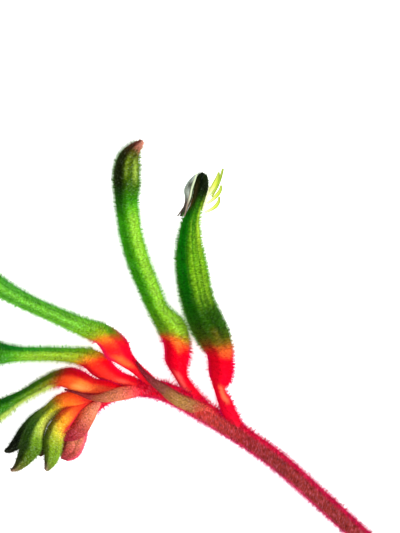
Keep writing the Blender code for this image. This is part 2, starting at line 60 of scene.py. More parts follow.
class Wire:
    # a socket on its way through a shader, with maths on it
    def __init__(self, tree, socket=None):
        self.tree = tree
        self.socket = socket

    def node(self, kind, settings, sockets, output=0):
        made = self.tree.nodes.new(kind)
        for key, value in settings.items():
            if key == "stops":
                stops = made.color_ramp.elements
                for at, colour in value[1:-1]:
                    stops.new(at).color = colour
                for k in (0, -1):
                    stops[k].position, stops[k].color = value[k]
            else:
                setattr(made, key, value)
        for key, value in sockets.items():
            if isinstance(value, Wire):
                self.tree.links.new(value.socket, made.inputs[key])
            else:
                made.inputs[key].default_value = value
        return Wire(self.tree, made.outputs[output])

    def maths(self, operation, *values):
        return self.node("ShaderNodeMath", {"operation": operation}, dict(enumerate(values)))

    def __add__(self, other):
        return self.maths("ADD", self, other)

    def __sub__(self, other):
        return self.maths("SUBTRACT", self, other)

    def __mul__(self, other):
        return self.maths("MULTIPLY", self, other)

    def __truediv__(self, other):
        return self.maths("DIVIDE", self, other)

    __radd__ = __add__
    __rmul__ = __mul__

    def __rsub__(self, other):
        return self.maths("SUBTRACT", other, self)

    def soft(self, low, high):
        # 0 below low, 1 above high, smooth between; low may be the larger one
        sockets = {0: self, 1: min(low, high), 2: max(low, high)}
        risen = self.node("ShaderNodeMapRange", {"interpolation_type": "SMOOTHSTEP"}, sockets)
        return risen if low < high else 1 - risen

    def near(self, middle, half):
        # 1 at the middle, falling to 0 a half width away
        return self.maths("ABSOLUTE", self - middle).soft(half, 0.0)

    def mixed(self, other, share, blend="MIX"):
        # this colour turned towards the other one by a share of 0 to 1
        settings = {"data_type": "RGBA", "blend_type": blend}
        return self.node("ShaderNodeMix", settings, {0: share, 6: self, 7: other}, 2)

    def parts(self):
        # the three numbers of a vector
        return [self.node("ShaderNodeSeparateXYZ", {}, {0: self}, k) for k in range(3)]

    def into(self, shader, word):
        self.tree.links.new(self.socket, shader.inputs[word])


def paint(red, green, blue):
    # a colour as a screen shows it, 0 to 255, as the light it stands for
    return (*(((c / 255 + 0.055) / 1.055) ** 2.4 if c > 10 else c / 3294.6 for c in (red, green, blue)), 1.0)


def streak(at, half, span, colour, strength, fade=4.0, taper=0.0):
    # streaks paint the skin's own colours, and also painted light and shade
    # a stripe along a skin: its middle across, from -1 to 1, half its width, its start and end in mm, the mm
    # over which its ends fade, and how much it narrows towards the stem
    return dict(at=at, half=half, span=span, colour=colour, strength=strength, fade=fade, taper=taper)


# What every hairy skin starts from. Lengths are in mm, shares go from 0 to 1.
coatLooks = {
    "streaks": [],
    "skew": 0.0,  # how far the colours run obliquely round the end of an ovary
    "skewFade": (35.0, 15.0),
    "blur": 2.4,  # how raggedly one colour changes into the next
    "redBelow": 3.0,  # the skin counts as red up to here, and as green past it
    "redFade": 6.0,
    "redShift": 0.0,  # moves the line between the painted lit and shaded sides where the skin is red
    "nap": 2.6,  # fineness of the grain around, then along, then its slant
    "fine": 1.25,
    "slant": 0.0,
    "grain": (1.6, 4.0),  # scales and details of the three noises
    "cloud": (0.3, 2.0),
    "specks": (2.2, 2.0),
    "mottle": 2.2,
    "calm": 0.8,  # how much evener the red part is
    "veinColour": (20, 85, 15),
    "grooveShade": 0.3,
    "spikeShade": 0.9,  # darkness of the stout hairs' ends
    # painted shadows between hairs: dark specks
    "fleck": 0.5,
    "fleckColour": (95, 120, 20),
    "hairGlint": 0.13,  # painted glints: pale specks where short hairs catch the light
    "greenGlint": (205, 232, 200),
    "redGlint": (255, 150, 190),
    # a pink rim on red skin, partly its hairs' own colour and partly a painted glow
    "blush": 0.5,
    "blushAndGlowColour": (232, 8, 78),
    # hair ends painted paler, partly their own colour and partly painted light on them
    "lift": 0.6,
    "rim": (0.75, 0.98),
    "rimTint": 0.7,
    "greenRim": (145, 225, 80),  # painted backlight: the ends of hairs at the edges, coloured as if lit from behind
    "redRim": (245, 40, 185),
    "gloss": 0.015,
    "relief": (0.45, 0.0003),  # strength, and depth in m
}

# The blooms. Stations run from the root inside the stem, over the ovary, to the tip: x, y, z and width in mm.
# "lit" and "shade" are the colours of the two sides: mm past the ovary's end, then red, green and blue. The
# tube starts at the station numbered "tubeFrom", and "woolSize" scales the hairs of the tube and of the base.
print("paths")
blooms = {}
blooms["flower_a"] = {
    "tubeFrom": 6, "woolSize": (1.0, 1.0),
    "stations": [
        (-5.8, 0.1, 6.4, 4.4), (-10.4, 5.2, 6.2, 4.8), (-13.5, 10.1, 6.1, 4.1), (-14.8, 13.7, 6.1, 5.8),
        (-15.5, 17.3, 6.1, 8.5), (-15.5, 21.0, 6.1, 9.0), (-15.9, 24.5, 6.0, 9.3), (-17.2, 28.5, 5.9, 10.0),
        (-19.8, 31.8, 5.8, 8.3), (-22.3, 35.3, 5.7, 6.9), (-24.2, 39.7, 5.6, 7.1), (-27.2, 46.9, 5.4, 7.5),
        (-30.0, 54.4, 5.1, 7.7), (-32.1, 62.0, 4.7, 7.7), (-33.2, 69.0, 4.3, 7.7), (-33.8, 75.0, 4.05, 8.2),
        (-33.8, 80.3, 3.95, 9.3), (-33.8, 85.0, 4.0, 9.5), (-33.1, 89.6, 4.2, 8.1), (-31.2, 93.1, 4.6, 5.4),
        (-28.1, 96.2, 5.2, 1.8),
    ],
    "lit": [
        (-27, 240, 15, 45), (-12, 250, 0, 35), (-3.5, 252, 0, 32), (-2.2, 250, 25, 32), (-1, 242, 82, 34),
        (0.2, 228, 135, 36), (1.4, 200, 170, 34), (2.8, 172, 196, 32), (4.5, 166, 214, 36), (9, 156, 215, 38),
        (16, 124, 196, 28), (46, 115, 188, 24), (51, 92, 184, 16), (54, 58, 145, 4), (59, 62, 108, 2),
        (70, 92, 110, 8), (73, 92, 85, 15), (75, 185, 110, 90), (78, 205, 135, 115),
    ],
    "shade": [
        (-27, 215, 0, 45), (-3, 200, 0, 25), (-1.2, 212, 20, 25), (0, 212, 72, 28), (1.4, 172, 108, 25),
        (3, 120, 132, 20), (5, 98, 150, 10), (12, 72, 148, 5), (20, 58, 150, 5), (46, 55, 152, 4),
        (51, 38, 118, 2), (56, 24, 70, 2), (60, 22, 34, 1), (70, 32, 40, 2), (73, 60, 40, 12),
        (76, 115, 55, 45), (78, 150, 90, 75),
    ],
    "shadeSide": (-0.35, 0.55), "redShift": -0.2, "skew": 2.7,
    "streaks": [
        # painted highlight: a lime band right of the middle, on the lit side
        streak(-0.48, 0.6, (4, 49), (174, 230, 66), 0.88),
        # painted highlights on the ribs of the head
        streak(0.0, 0.25, (63, 70), (130, 158, 35), 0.8, 2.5),
        streak(-0.66, 0.25, (61, 70), (165, 195, 70), 1.0, 2.5),
        streak(-0.1, 1.05, (-5.2, 0.2), (255, 128, 45), 1.0, 1.2, 0.15),
        streak(0.28, 0.7, (-20, -12.3), (255, 90, 85), 0.9, 1.2),
    ],
}
blooms["flower_b"] = {
    "tubeFrom": 10, "bareFrom": 58.0, "woolSize": (1.0, 1.0),
    "stations": [
        (7.2, -9.0, 6.4, 4.4), (4.7, -4.3, 7.6, 4.6), (2.8, -0.7, 8.9, 5.0), (1.6, 2.6, 9.9, 4.7),
        (0.5, 4.8, 10.5, 4.0), (-0.2, 7.0, 10.9, 3.9), (-0.3, 8.6, 11.1, 5.1), (0.1, 10.3, 11.4, 7.2),
        (0.2, 13.7, 11.8, 8.7), (0.1, 17.3, 12.0, 8.8), (-0.4, 21.2, 12.2, 9.5), (-2.0, 25.0, 12.3, 11.3),
        (-4.0, 28.8, 12.3, 12.1), (-5.8, 32.6, 12.3, 12.1), (-7.4, 36.6, 12.4, 11.6),
        (-8.9, 42.0, 12.5, 11.3), (-9.9, 48.0, 12.6, 11.2), (-10.7, 54.0, 12.7, 10.3),
        (-11.0, 59.0, 12.8, 8.7), (-10.8, 64.0, 12.7, 7.1), (-10.2, 68.0, 12.6, 5.8), (-9.0, 71.5, 12.5, 4.5),
        (-7.8, 75.0, 12.4, 4.7), (-6.9, 78.9, 12.3, 5.4), (-6.5, 81.8, 12.2, 4.9), (-6.4, 83.6, 12.1, 3.5),
        (-6.4, 84.3, 12.1, 1.8),
    ],
    "lit": [
        (-32, 215, 30, 60), (-26, 240, 8, 45), (-10, 248, 0, 38), (-3.4, 248, 0, 32), (-2.6, 238, 50, 38),
        (-1.6, 238, 92, 42), (0.3, 222, 98, 38), (2, 135, 98, 16), (4, 68, 84, 8), (8, 38, 82, 4),
        (14, 46, 92, 6), (20, 78, 130, 10), (26, 108, 162, 16), (32, 110, 170, 18), (37, 90, 156, 10),
        (42, 74, 142, 6), (49, 58, 134, 5), (54, 44, 104, 4), (57.5, 18, 44, 2), (60, 10, 20, 2),
        (66, 12, 20, 4),
    ],
    "shade": [
        (-32, 200, 35, 60), (-25, 215, 5, 40), (-3, 203, 2, 26), (0, 182, 22, 22), (3, 108, 62, 14),
        (6, 58, 76, 8), (12, 32, 84, 3), (20, 16, 100, 2), (30, 12, 118, 2), (42, 10, 122, 3),
        (49, 18, 110, 6), (54, 40, 72, 12), (57, 18, 35, 1), (66, 12, 20, 3),
    ],
    "shadeSide": (-0.05, 0.45), "redShift": 0.2, "hairGlint": 0.04, "skew": 1.2, "blur": 1.2,
    "veins": (14, 0.4, (14, 52)),
    "streaks": [
        streak(-0.12, 0.18, (18, 48), (150, 205, 40), 0.6),
        streak(-0.42, 0.16, (18, 44), (150, 205, 45), 0.5),
        streak(-0.7, 0.2, (18, 50), (150, 195, 40), 0.6),
        # painted light along the right edge, the side the lamp lights
        streak(-0.98, 0.55, (38, 55.5), (172, 208, 48), 0.95, 4.0),
        streak(-0.3, 0.65, (-19, -12.5), (255, 118, 78), 0.9, 1.5),
        streak(-0.2, 0.4, (2, 8), (130, 100, 20), 0.4, 2.0),
        # painted shade inside the dark hood; both ramps also turn dark there as painted shade
        streak(0.0, 1.4, (63, 90), (34, 50, 14), 0.9, 3.0),
        streak(0.05, 0.5, (61, 73), (2, 8, 2), 1.0, 2.5),
        streak(0.65, 0.5, (55.5, 62), (66, 58, 28), 0.85, 2.5),
        streak(0.95, 0.4, (52, 54.5), (190, 104, 76), 0.9, 2.0),
    ],
}
blooms["flower_c"] = {
    "tubeFrom": 6, "woolSize": (1.0, 0.5),
    "stations": [
        (-22.7, 7.0, 7.0, 4.2), (-26.3, 10.6, 8.2, 4.2), (-30.25, 14.4, 9.2, 4.3), (-34.0, 17.8, 9.9, 6.2),
        (-36.95, 21.2, 10.4, 9.5), (-39.9, 24.7, 10.7, 8.6), (-42.9, 26.9, 10.8, 7.4),
        (-46.6, 28.3, 10.9, 6.8), (-50.4, 29.8, 10.9, 6.2), (-57.6, 32.9, 11.0, 5.7),
        (-64.8, 36.1, 11.2, 5.6), (-72.0, 39.6, 11.3, 6.0), (-79.2, 43.8, 11.5, 6.8),
        (-84.6, 48.2, 11.6, 7.3), (-89.0, 53.4, 11.8, 8.0), (-91.6, 59.0, 11.9, 8.2),
        (-92.4, 64.0, 12.0, 7.0), (-91.4, 68.0, 12.2, 4.8), (-88.8, 70.9, 12.4, 1.3),
    ],
    "lit": [
        (-29, 222, 18, 36), (-21, 222, 16, 36), (-15, 240, 26, 30), (-11, 248, 28, 34), (-8, 250, 30, 34),
        (-5.5, 248, 62, 34), (-4, 248, 108, 36), (-2.2, 222, 138, 28), (0, 168, 182, 28), (3, 134, 188, 28),
        (8, 128, 200, 48), (24, 108, 190, 46), (40, 95, 182, 46), (52, 75, 165, 30), (58, 65, 120, 25),
        (64, 95, 120, 25), (69, 90, 70, 25), (73, 225, 120, 120),
    ],
    "shade": [
        (-29, 205, 0, 30), (-12, 235, 3, 40), (-7, 242, 5, 38), (-4.5, 230, 30, 38), (-2.5, 182, 82, 26),
        (-0.5, 98, 140, 18), (2, 88, 160, 26), (8, 104, 184, 46), (20, 80, 168, 42), (30, 74, 164, 50),
        (40, 70, 162, 54), (55, 25, 85, 22), (62, 28, 30, 8), (69, 60, 35, 20), (73, 210, 100, 100),
    ],
    "shadeSide": (-0.5, -0.95), "redShift": -0.5, "skew": 3.3,
    "streaks": [
        # painted highlight: a lighter band along the middle of the tube
        streak(0.02, 0.35, (6, 55), (135, 212, 68), 0.65),
        streak(-0.55, 0.16, (12, 56), (40, 140, 30), 0.4),
        streak(0.62, 0.2, (8, 56), (62, 145, 26), 0.55),
        streak(0.35, 0.75, (-17, -11), (255, 108, 50), 0.85, 2.0),
        streak(0.95, 0.4, (-14, -3), (246, 18, 76), 0.9, 2.0),
    ],
}
blooms["flower_d"] = {
    "tubeFrom": 5, "woolSize": (1.0, 0.5),
    "stations": [
        (-27.9, 6.8, 6.9, 4.8), (-31.8, 8.8, 6.4, 5.0), (-36.4, 10.5, 6.0, 5.2), (-40.45, 12.7, 5.7, 7.1),
        (-43.55, 15.25, 5.5, 8.5), (-47.1, 17.5, 5.3, 7.3), (-50.4, 18.5, 5.2, 6.0), (-54.0, 18.9, 5.1, 5.2),
        (-60.5, 19.3, 5.0, 4.8), (-67.0, 19.3, 4.9, 4.8), (-72.0, 19.3, 4.7, 5.1), (-75.8, 19.4, 4.5, 6.1),
        (-79.6, 19.5, 4.4, 7.8), (-84.0, 20.4, 4.4, 8.5), (-88.4, 22.4, 4.5, 8.3), (-91.8, 25.4, 4.7, 6.1),
        (-93.6, 29.0, 5.2, 1.4),
    ],
    "lit": [
        (-22, 245, 25, 35), (-16, 248, 60, 50), (-8, 250, 48, 35), (-4, 250, 45, 30), (-2, 245, 75, 30),
        (-0.5, 244, 130, 36), (0.8, 238, 168, 38), (2.2, 212, 180, 34), (4, 180, 196, 34), (8, 168, 205, 44),
        (20, 145, 203, 48), (25, 120, 194, 40), (29, 76, 164, 28), (33, 52, 130, 18), (41, 95, 120, 25),
        (47, 90, 70, 25), (51, 225, 120, 120),
    ],
    "shade": [
        (-22, 225, 0, 35), (-10, 245, 8, 35), (-3, 245, 10, 30), (-1.5, 238, 85, 30), (0, 212, 150, 30),
        (2, 170, 165, 24), (4, 124, 166, 22), (8, 105, 175, 28), (14, 85, 172, 38), (22, 50, 158, 38),
        (28, 10, 130, 24), (33, 14, 100, 18), (40, 25, 35, 8), (47, 60, 35, 20), (51, 210, 100, 100),
    ],
    "shadeSide": (-0.15, -0.7), "redShift": -0.2, "skew": 3.0,
    "streaks": [
        # painted light: a lighter band along the lower side
        streak(0.3, 0.5, (5, 24), (178, 215, 58), 0.5),
        streak(-0.05, 0.35, (-12, -11), (175, 25, 20), 0.6, 1.2),
        streak(0.15, 0.45, (-17, -13), (255, 88, 72), 0.9, 1.5),
        # painted shade along the lower edge of the neck
        streak(0.9, 0.6, (-9, 0), (218, 6, 32), 0.9, 1.5),
        streak(-0.95, 0.35, (-13, -4), (250, 0, 78), 0.9, 1.5),
    ],
}
blooms["flower_e"] = {
    "tubeFrom": 5, "woolSize": (1.05, 0.6), "greenRim": (195, 230, 95),
    "stations": [
        (-35.3, 5.6, 7.0, 4.4), (-40.5, 7.1, 8.2, 5.4), (-45.9, 7.95, 9.0, 5.9), (-50.4, 9.5, 9.4, 7.8),
        (-54.0, 10.75, 9.6, 7.8), (-57.6, 10.8, 9.7, 6.0), (-61.2, 9.75, 9.9, 5.0), (-64.8, 7.9, 10.0, 4.6),
        (-68.4, 5.9, 10.1, 4.2), (-72.0, 3.9, 10.3, 4.4), (-75.6, 1.8, 10.5, 5.4), (-79.2, -0.4, 10.7, 7.1),
        (-83.4, -2.6, 10.9, 7.8), (-87.6, -3.9, 11.0, 6.9), (-90.8, -4.3, 11.1, 4.6),
        (-93.2, -3.6, 11.2, 1.2),
    ],
    "lit": [
        (-23, 195, 36, 32), (-17, 190, 50, 28), (-14, 198, 66, 30), (-11, 242, 110, 46), (-8, 252, 128, 48),
        (-5, 242, 85, 32), (-2, 228, 70, 25), (0, 192, 66, 18), (2, 160, 98, 15), (4.5, 126, 126, 14),
        (9, 106, 138, 14), (16, 78, 132, 12), (22, 56, 132, 10), (28, 45, 118, 12), (33, 95, 120, 25),
        (36, 90, 70, 25), (39, 225, 120, 120),
    ],
    "shade": [
        (-23, 225, 0, 25), (-13, 215, 10, 25), (-10, 214, 28, 27), (-6, 204, 8, 24), (-4, 200, 3, 24),
        (-1, 180, 20, 18), (1, 125, 50, 12), (4, 78, 92, 8), (8, 54, 98, 3), (16, 38, 98, 4), (20, 14, 94, 3),
        (26, 8, 80, 4), (33, 25, 30, 8), (39, 210, 100, 100),
    ],
    "shadeSide": (0.0, -0.55), "skew": 2.5,
    "streaks": [
        streak(0.45, 0.5, (-12, -7), (255, 160, 84), 0.65, 2.0),
        # painted backlight: a lime band along the lower edge
        streak(1.0, 0.65, (1, 30), (205, 225, 105), 1.0, 3.0),
    ],
}
budLooks = {"tubeFrom": 4, "woolSize": (0.6, 0.5), "rimTint": 0.4, "greenRim": (150, 200, 80)}
blooms["bud_1"] = {
    **budLooks,
    "stations": [
        (-43.0, 0.9, 6.6, 2.2), (-46.2, 1.4, 4.2, 2.1), (-50.0, 1.6, 2.7, 2.7), (-53.8, 1.0, 2.3, 3.6),
        (-57.6, 0.2, 2.3, 4.6), (-61.9, -1.8, 2.4, 5.0), (-66.2, -4.7, 2.5, 5.6), (-69.8, -8.6, 2.5, 5.8),
        (-73.0, -12.6, 2.6, 4.8), (-76.0, -15.3, 2.8, 2.9), (-77.8, -16.0, 3.0, 1.4),
    ],
    "lit": [
        (-16, 240, 60, 32), (-4, 248, 110, 35), (0, 215, 130, 30), (4, 150, 150, 32), (8, 95, 120, 32),
        (13, 55, 95, 22), (17, 40, 62, 14), (20, 24, 34, 10), (26, 30, 26, 14),
    ],
    "shade": [
        (-16, 215, 0, 35), (-3, 235, 75, 30), (1, 120, 95, 25), (5, 60, 90, 28), (11, 48, 84, 20),
        (15, 34, 54, 10), (19, 10, 16, 4), (26, 18, 15, 7),
    ],
    "shadeSide": (0.1, -0.4),
}
blooms["bud_2"] = {
    **budLooks,
    "woolSize": (0.6, 0.45),
    "stations": [
        (-39.6, 3.2, 7.0, 2.6), (-43.2, 3.7, 7.7, 2.6), (-47.4, 3.4, 8.0, 3.8), (-52.5, 2.9, 8.1, 6.8),
        (-57.0, 1.7, 8.5, 6.7), (-60.9, -0.9, 8.9, 5.4), (-64.3, -4.35, 9.1, 5.8), (-66.5, -8.65, 9.3, 7.3),
        (-67.75, -13.3, 9.2, 8.1), (-70.2, -17.75, 8.9, 6.0), (-73.0, -21.3, 8.4, 3.1),
        (-75.2, -22.5, 8.0, 1.2),
    ],
    "lit": [
        (-18, 200, 20, 30), (-11, 202, 32, 30), (-8, 226, 48, 32), (-4, 250, 112, 30), (-1, 240, 118, 28),
        (1.5, 216, 165, 28), (4, 200, 196, 30), (8, 194, 206, 57), (12, 180, 204, 74), (16, 126, 166, 38),
        (20, 84, 122, 14), (24, 80, 106, 10), (28, 102, 106, 34), (30.5, 140, 110, 88), (32, 118, 88, 74),
    ],
    "shade": [
        (-18, 215, 5, 30), (-8, 225, 45, 30), (-4, 250, 84, 32), (-1.5, 236, 100, 32), (0.5, 205, 105, 28),
        (3, 128, 125, 26), (8, 84, 112, 28), (12, 54, 95, 20), (16, 40, 72, 8), (20, 34, 60, 5),
        (25, 32, 46, 3), (28, 52, 55, 14), (30.5, 72, 50, 38), (32, 100, 75, 62),
    ],
    "shadeSide": (0.25, -0.4), "skew": 0.5,
    "streaks": [
        # painted light on the side where bud_4 throws its shadow
        streak(0.75, 0.6, (-7, -2.5), (255, 140, 55), 0.85),
        streak(0.85, 0.5, (-1.5, 1), (255, 96, 44), 0.9, 1.5),
        streak(0.7, 0.6, (4, 13), (242, 245, 112), 0.9),
    ],
}
blooms["bud_3"] = {
    **budLooks,
    "stations": [
        (-44.4, 0.0, 6.6, 1.9), (-46.8, -1.9, 4.4, 1.9), (-50.2, -4.2, 2.9, 2.5), (-53.6, -6.0, 2.5, 3.5),
        (-56.8, -7.8, 2.6, 4.3), (-59.8, -10.4, 2.7, 4.9), (-62.4, -13.4, 2.9, 4.6), (-64.3, -16.0, 3.1, 3.0),
        (-65.1, -17.6, 3.2, 1.4),
    ],
    "lit": [
        (-15, 240, 30, 30), (-3, 245, 90, 30), (1, 190, 140, 35), (5, 95, 115, 30), (10, 62, 66, 22),
        (13, 82, 45, 34),
    ],
    "shade": [(-15, 215, 0, 35), (-1, 175, 35, 25), (4, 40, 62, 16), (10, 30, 28, 10), (13, 58, 28, 22)],
    "shadeSide": (0.1, -0.5),
}
blooms["bud_4"] = {
    **budLooks,
    "woolSize": (0.6, 0.45),
    "stations": [
        (-42.8, 1.4, 7.2, 2.3), (-46.6, 2.2, 8.2, 2.0), (-50.6, 0.3, 9.4, 2.7), (-53.6, -1.95, 11.4, 5.0),
        (-56.1, -4.3, 12.4, 6.3), (-58.3, -7.0, 11.8, 6.5), (-59.7, -10.8, 11.1, 6.9),
        (-60.1, -15.1, 10.2, 6.3), (-60.9, -19.0, 9.4, 4.7), (-62.4, -22.2, 8.8, 1.8),
    ],
    "lit": [
        (-16, 214, 60, 50), (-12, 205, 40, 34), (-9.5, 220, 44, 30), (-7, 244, 72, 34), (-4, 248, 96, 40),
        (-1.5, 248, 142, 36), (0.5, 246, 168, 40), (3, 216, 198, 50), (6, 168, 178, 42), (9, 136, 162, 30),
        (12, 114, 150, 26), (16, 112, 142, 32), (18, 115, 115, 55), (20, 160, 130, 110),
    ],
    "shade": [
        (-16, 215, 40, 40), (-8, 232, 52, 28), (-4, 246, 90, 38), (0, 205, 85, 25), (3, 98, 82, 12),
        (8, 64, 82, 5), (12, 66, 88, 5), (16, 72, 88, 10), (18, 50, 42, 24), (20, 110, 85, 75),
    ],
    "shadeSide": (-0.2, -0.7), "skew": 1.8, "rimTint": 0.1, "redRim": (200, 40, 40),
    # painted shadow along the side next to the terminal bud
    "streaks": [streak(1.0, 0.6, (-14, 3), (180, 34, 26), 1.0)],
}


def followPath(stations, step):
    # rows of x, y, z, width about one step apart on the smooth curve through the stations
    knots = np.array(stations, float)
    knots[:, :2] += frameShift
    spans = np.linalg.norm(np.diff(knots[:, :3], axis=0), axis=1)
    along = np.concatenate([[0.0], np.cumsum(spans)])
    rows, marks = [knots[0]], [0]
    before = np.maximum(np.arange(len(knots)) - 1, 0)
    after = np.minimum(np.arange(len(knots)) + 1, len(knots) - 1)
    slopes = (knots[after] - knots[before]) / (along[after] - along[before])[:, None]
    for i in range(len(spans)):
        count = max(1, round(spans[i] / step))
        for t in np.arange(1, count + 1) / count:
            keep = 2 * t**3 - 3 * t**2 + 1
            lead, trail = t**3 - 2 * t**2 + t, t**3 - t**2
            bend = (slopes[i] * lead + slopes[i + 1] * trail) * spans[i]
            rows.append(knots[i] * keep + knots[i + 1] * (1 - keep) + bend)
        marks.append(len(rows) - 1)
    return np.array(rows), marks


def unit(vectors):
    return vectors / np.maximum(np.linalg.norm(vectors, axis=-1, keepdims=True), 1e-9)


def levelFrames(rows):
    # for each row the heading, the level direction across it, and the one that stands on both
    middles = rows[:, :3]
    ahead = np.concatenate([middles[1:], middles[-1:]]) - np.concatenate([middles[:1], middles[:-1]])
    heading = unit(ahead)
    across = unit(np.cross([0.0, 0.0, 1.0], heading))
    return heading, across, np.cross(heading, across)


def arcLength(rows):
    steps = np.linalg.norm(np.diff(rows[:, :3], axis=0), axis=1)
    return np.concatenate([[0.0], np.cumsum(steps)])


class Skin:
    # a tube of rings: points[row, side], with each point's place along and around it. Its height is a share
    # of its width, or thick in mm, and arch bends its edges down by a share of its width
    endLength = 0.3  # of the pointed end, as a share of the last width

    def __init__(self, rows, sides, reach, height=0.95, ribs=0, depth=0.0, thick=None, arch=0.0, frames=None):
        heading, across, upward = frames or levelFrames(rows)
        angle = np.arange(sides) * 2 * math.pi / sides
        depth = np.broadcast_to(depth, len(rows))[:, None]
        crest = np.abs(np.sin(ribs * angle / 2))[None, :] if ribs else np.ones((1, sides))
        share = 1 - depth * (1 - crest)
        half = rows[:, 3:4] / 2
        out = half * share * np.cos(angle)
        rise = (np.full_like(half, thick / 2) if thick else half * height) * share * np.sin(angle)
        rise = rise - arch * rows[:, 3:4] * (out / half) ** 2
        self.points = rows[:, None, :3] + across[:, None] * out[..., None] + upward[:, None] * rise[..., None]
        self.points[..., 2] = np.maximum(self.points[..., 2], 0.0)
        shape = self.points.shape[:2]
        coat = (reach[:, None], np.cos(angle), np.sin(angle))
        self.coat = np.stack([np.broadcast_to(part, shape) for part in coat], axis=-1)
        self.crest = np.broadcast_to(crest, shape)
        self.heading = heading
        self.tip = rows[-1, :3] + heading[-1] * rows[-1, 3] * self.endLength

    def faces(self):
        rows, sides = self.points.shape[:2]
        low = (np.arange(rows - 1)[:, None] * sides + np.arange(sides)).ravel()
        after = (np.arange(rows - 1)[:, None] * sides + (np.arange(sides) + 1) % sides).ravel()
        return np.stack([low, after, after + sides, low + sides], axis=1).tolist()


def addThing(name, data):
    made = bpy.data.objects.new(name, data)
    bpy.context.scene.collection.objects.link(made)
    return made


def buildMesh(name, points, faces, coat, trim, finish):
    # coat: mm along, and the place around in two parts. trim: crest of a rib, part of a hair's length, luck
    data = bpy.data.meshes.new(name)
    data.from_pydata((np.asarray(points) * mm).tolist(), [], faces)
    for word, values in (("coat", coat), ("trim", trim)):
        layer = data.attributes.new(word, "FLOAT_VECTOR", "POINT")
        layer.data.foreach_set("vector", np.concatenate(values).astype(np.float32).ravel())
    data.shade_smooth()
    data.materials.append(finish)
    return addThing(name, data)


def skinPiece(name, skins, finish):
    # closed skins as one piece, each ended by a flat cap at its root and a point at its tip
    points, faces, coat, trim = [], [], [], []
    for skin in skins:
        start = sum(len(block) for block in points)
        rows, sides = skin.points.shape[:2]
        ends = np.array([skin.points[0].mean(axis=0), skin.tip])
        points.append(np.concatenate([skin.points.reshape(-1, 3), ends]))
        faces += [[start + corner for corner in face] for face in skin.faces()]
        foot, top = start + rows * sides, start + rows * sides + 1
        last = start + (rows - 1) * sides
        for k in range(sides):
            after = (k + 1) % sides
            faces.append([foot, start + after, start + k])
            faces.append([top, last + k, last + after])
        endCoat = np.array([[skin.coat[0, 0, 0], 0, 0], [skin.coat[-1, 0, 0], 0, 0]])
        coat.append(np.concatenate([skin.coat.reshape(-1, 3), endCoat]))
        block = np.zeros((rows * sides + 2, 3))
        block[: rows * sides, 0] = skin.crest.ravel()
        block[:, 2] = 0.5
        trim.append(block)
    return buildMesh(name, np.concatenate(points), faces, coat, trim, finish)


# Wool in layers: hairs in a tuft, how far tufts keep to one side, stray, spread of feet and ends, how pale,
# how dark the ends are, and rings as shares of the length and width. A layer adds its tufts on a square mm,
# lengths and width in mm, and lean towards the tip. Sheltered hairs keep out of the bracts.
fineWool = {
    "hairs": 1, "bias": 0.0, "stray": 0.4, "foot": 0.1, "open": 0.8, "pale": 1.0, "dark": 0.0,
    "rings": [(0.0, 1.0)], "stout": False, "sheltered": False,
}
stoutWool = {
    **fineWool, "stray": 0.2, "foot": 0.0, "open": 0.0, "pale": 0.0,
    "rings": [(0.0, 1.0), (0.65, 0.75)], "stout": True,
}
hairForm = {
    "rooted": 0.1,  # depth of the feet under the skin, in mm
    "evenness": 0.7,  # the shortest hair of a tuft against its longest
    "shelter": 0.55,  # the share of a bract's width that no hair grows up through
}
shields = []  # the paths of the bracts, which hairs don't grow through
noLimit = 1000.0  # mm, past every end
endRoom = 4  # mm by which the ramps of colour reach past both ends


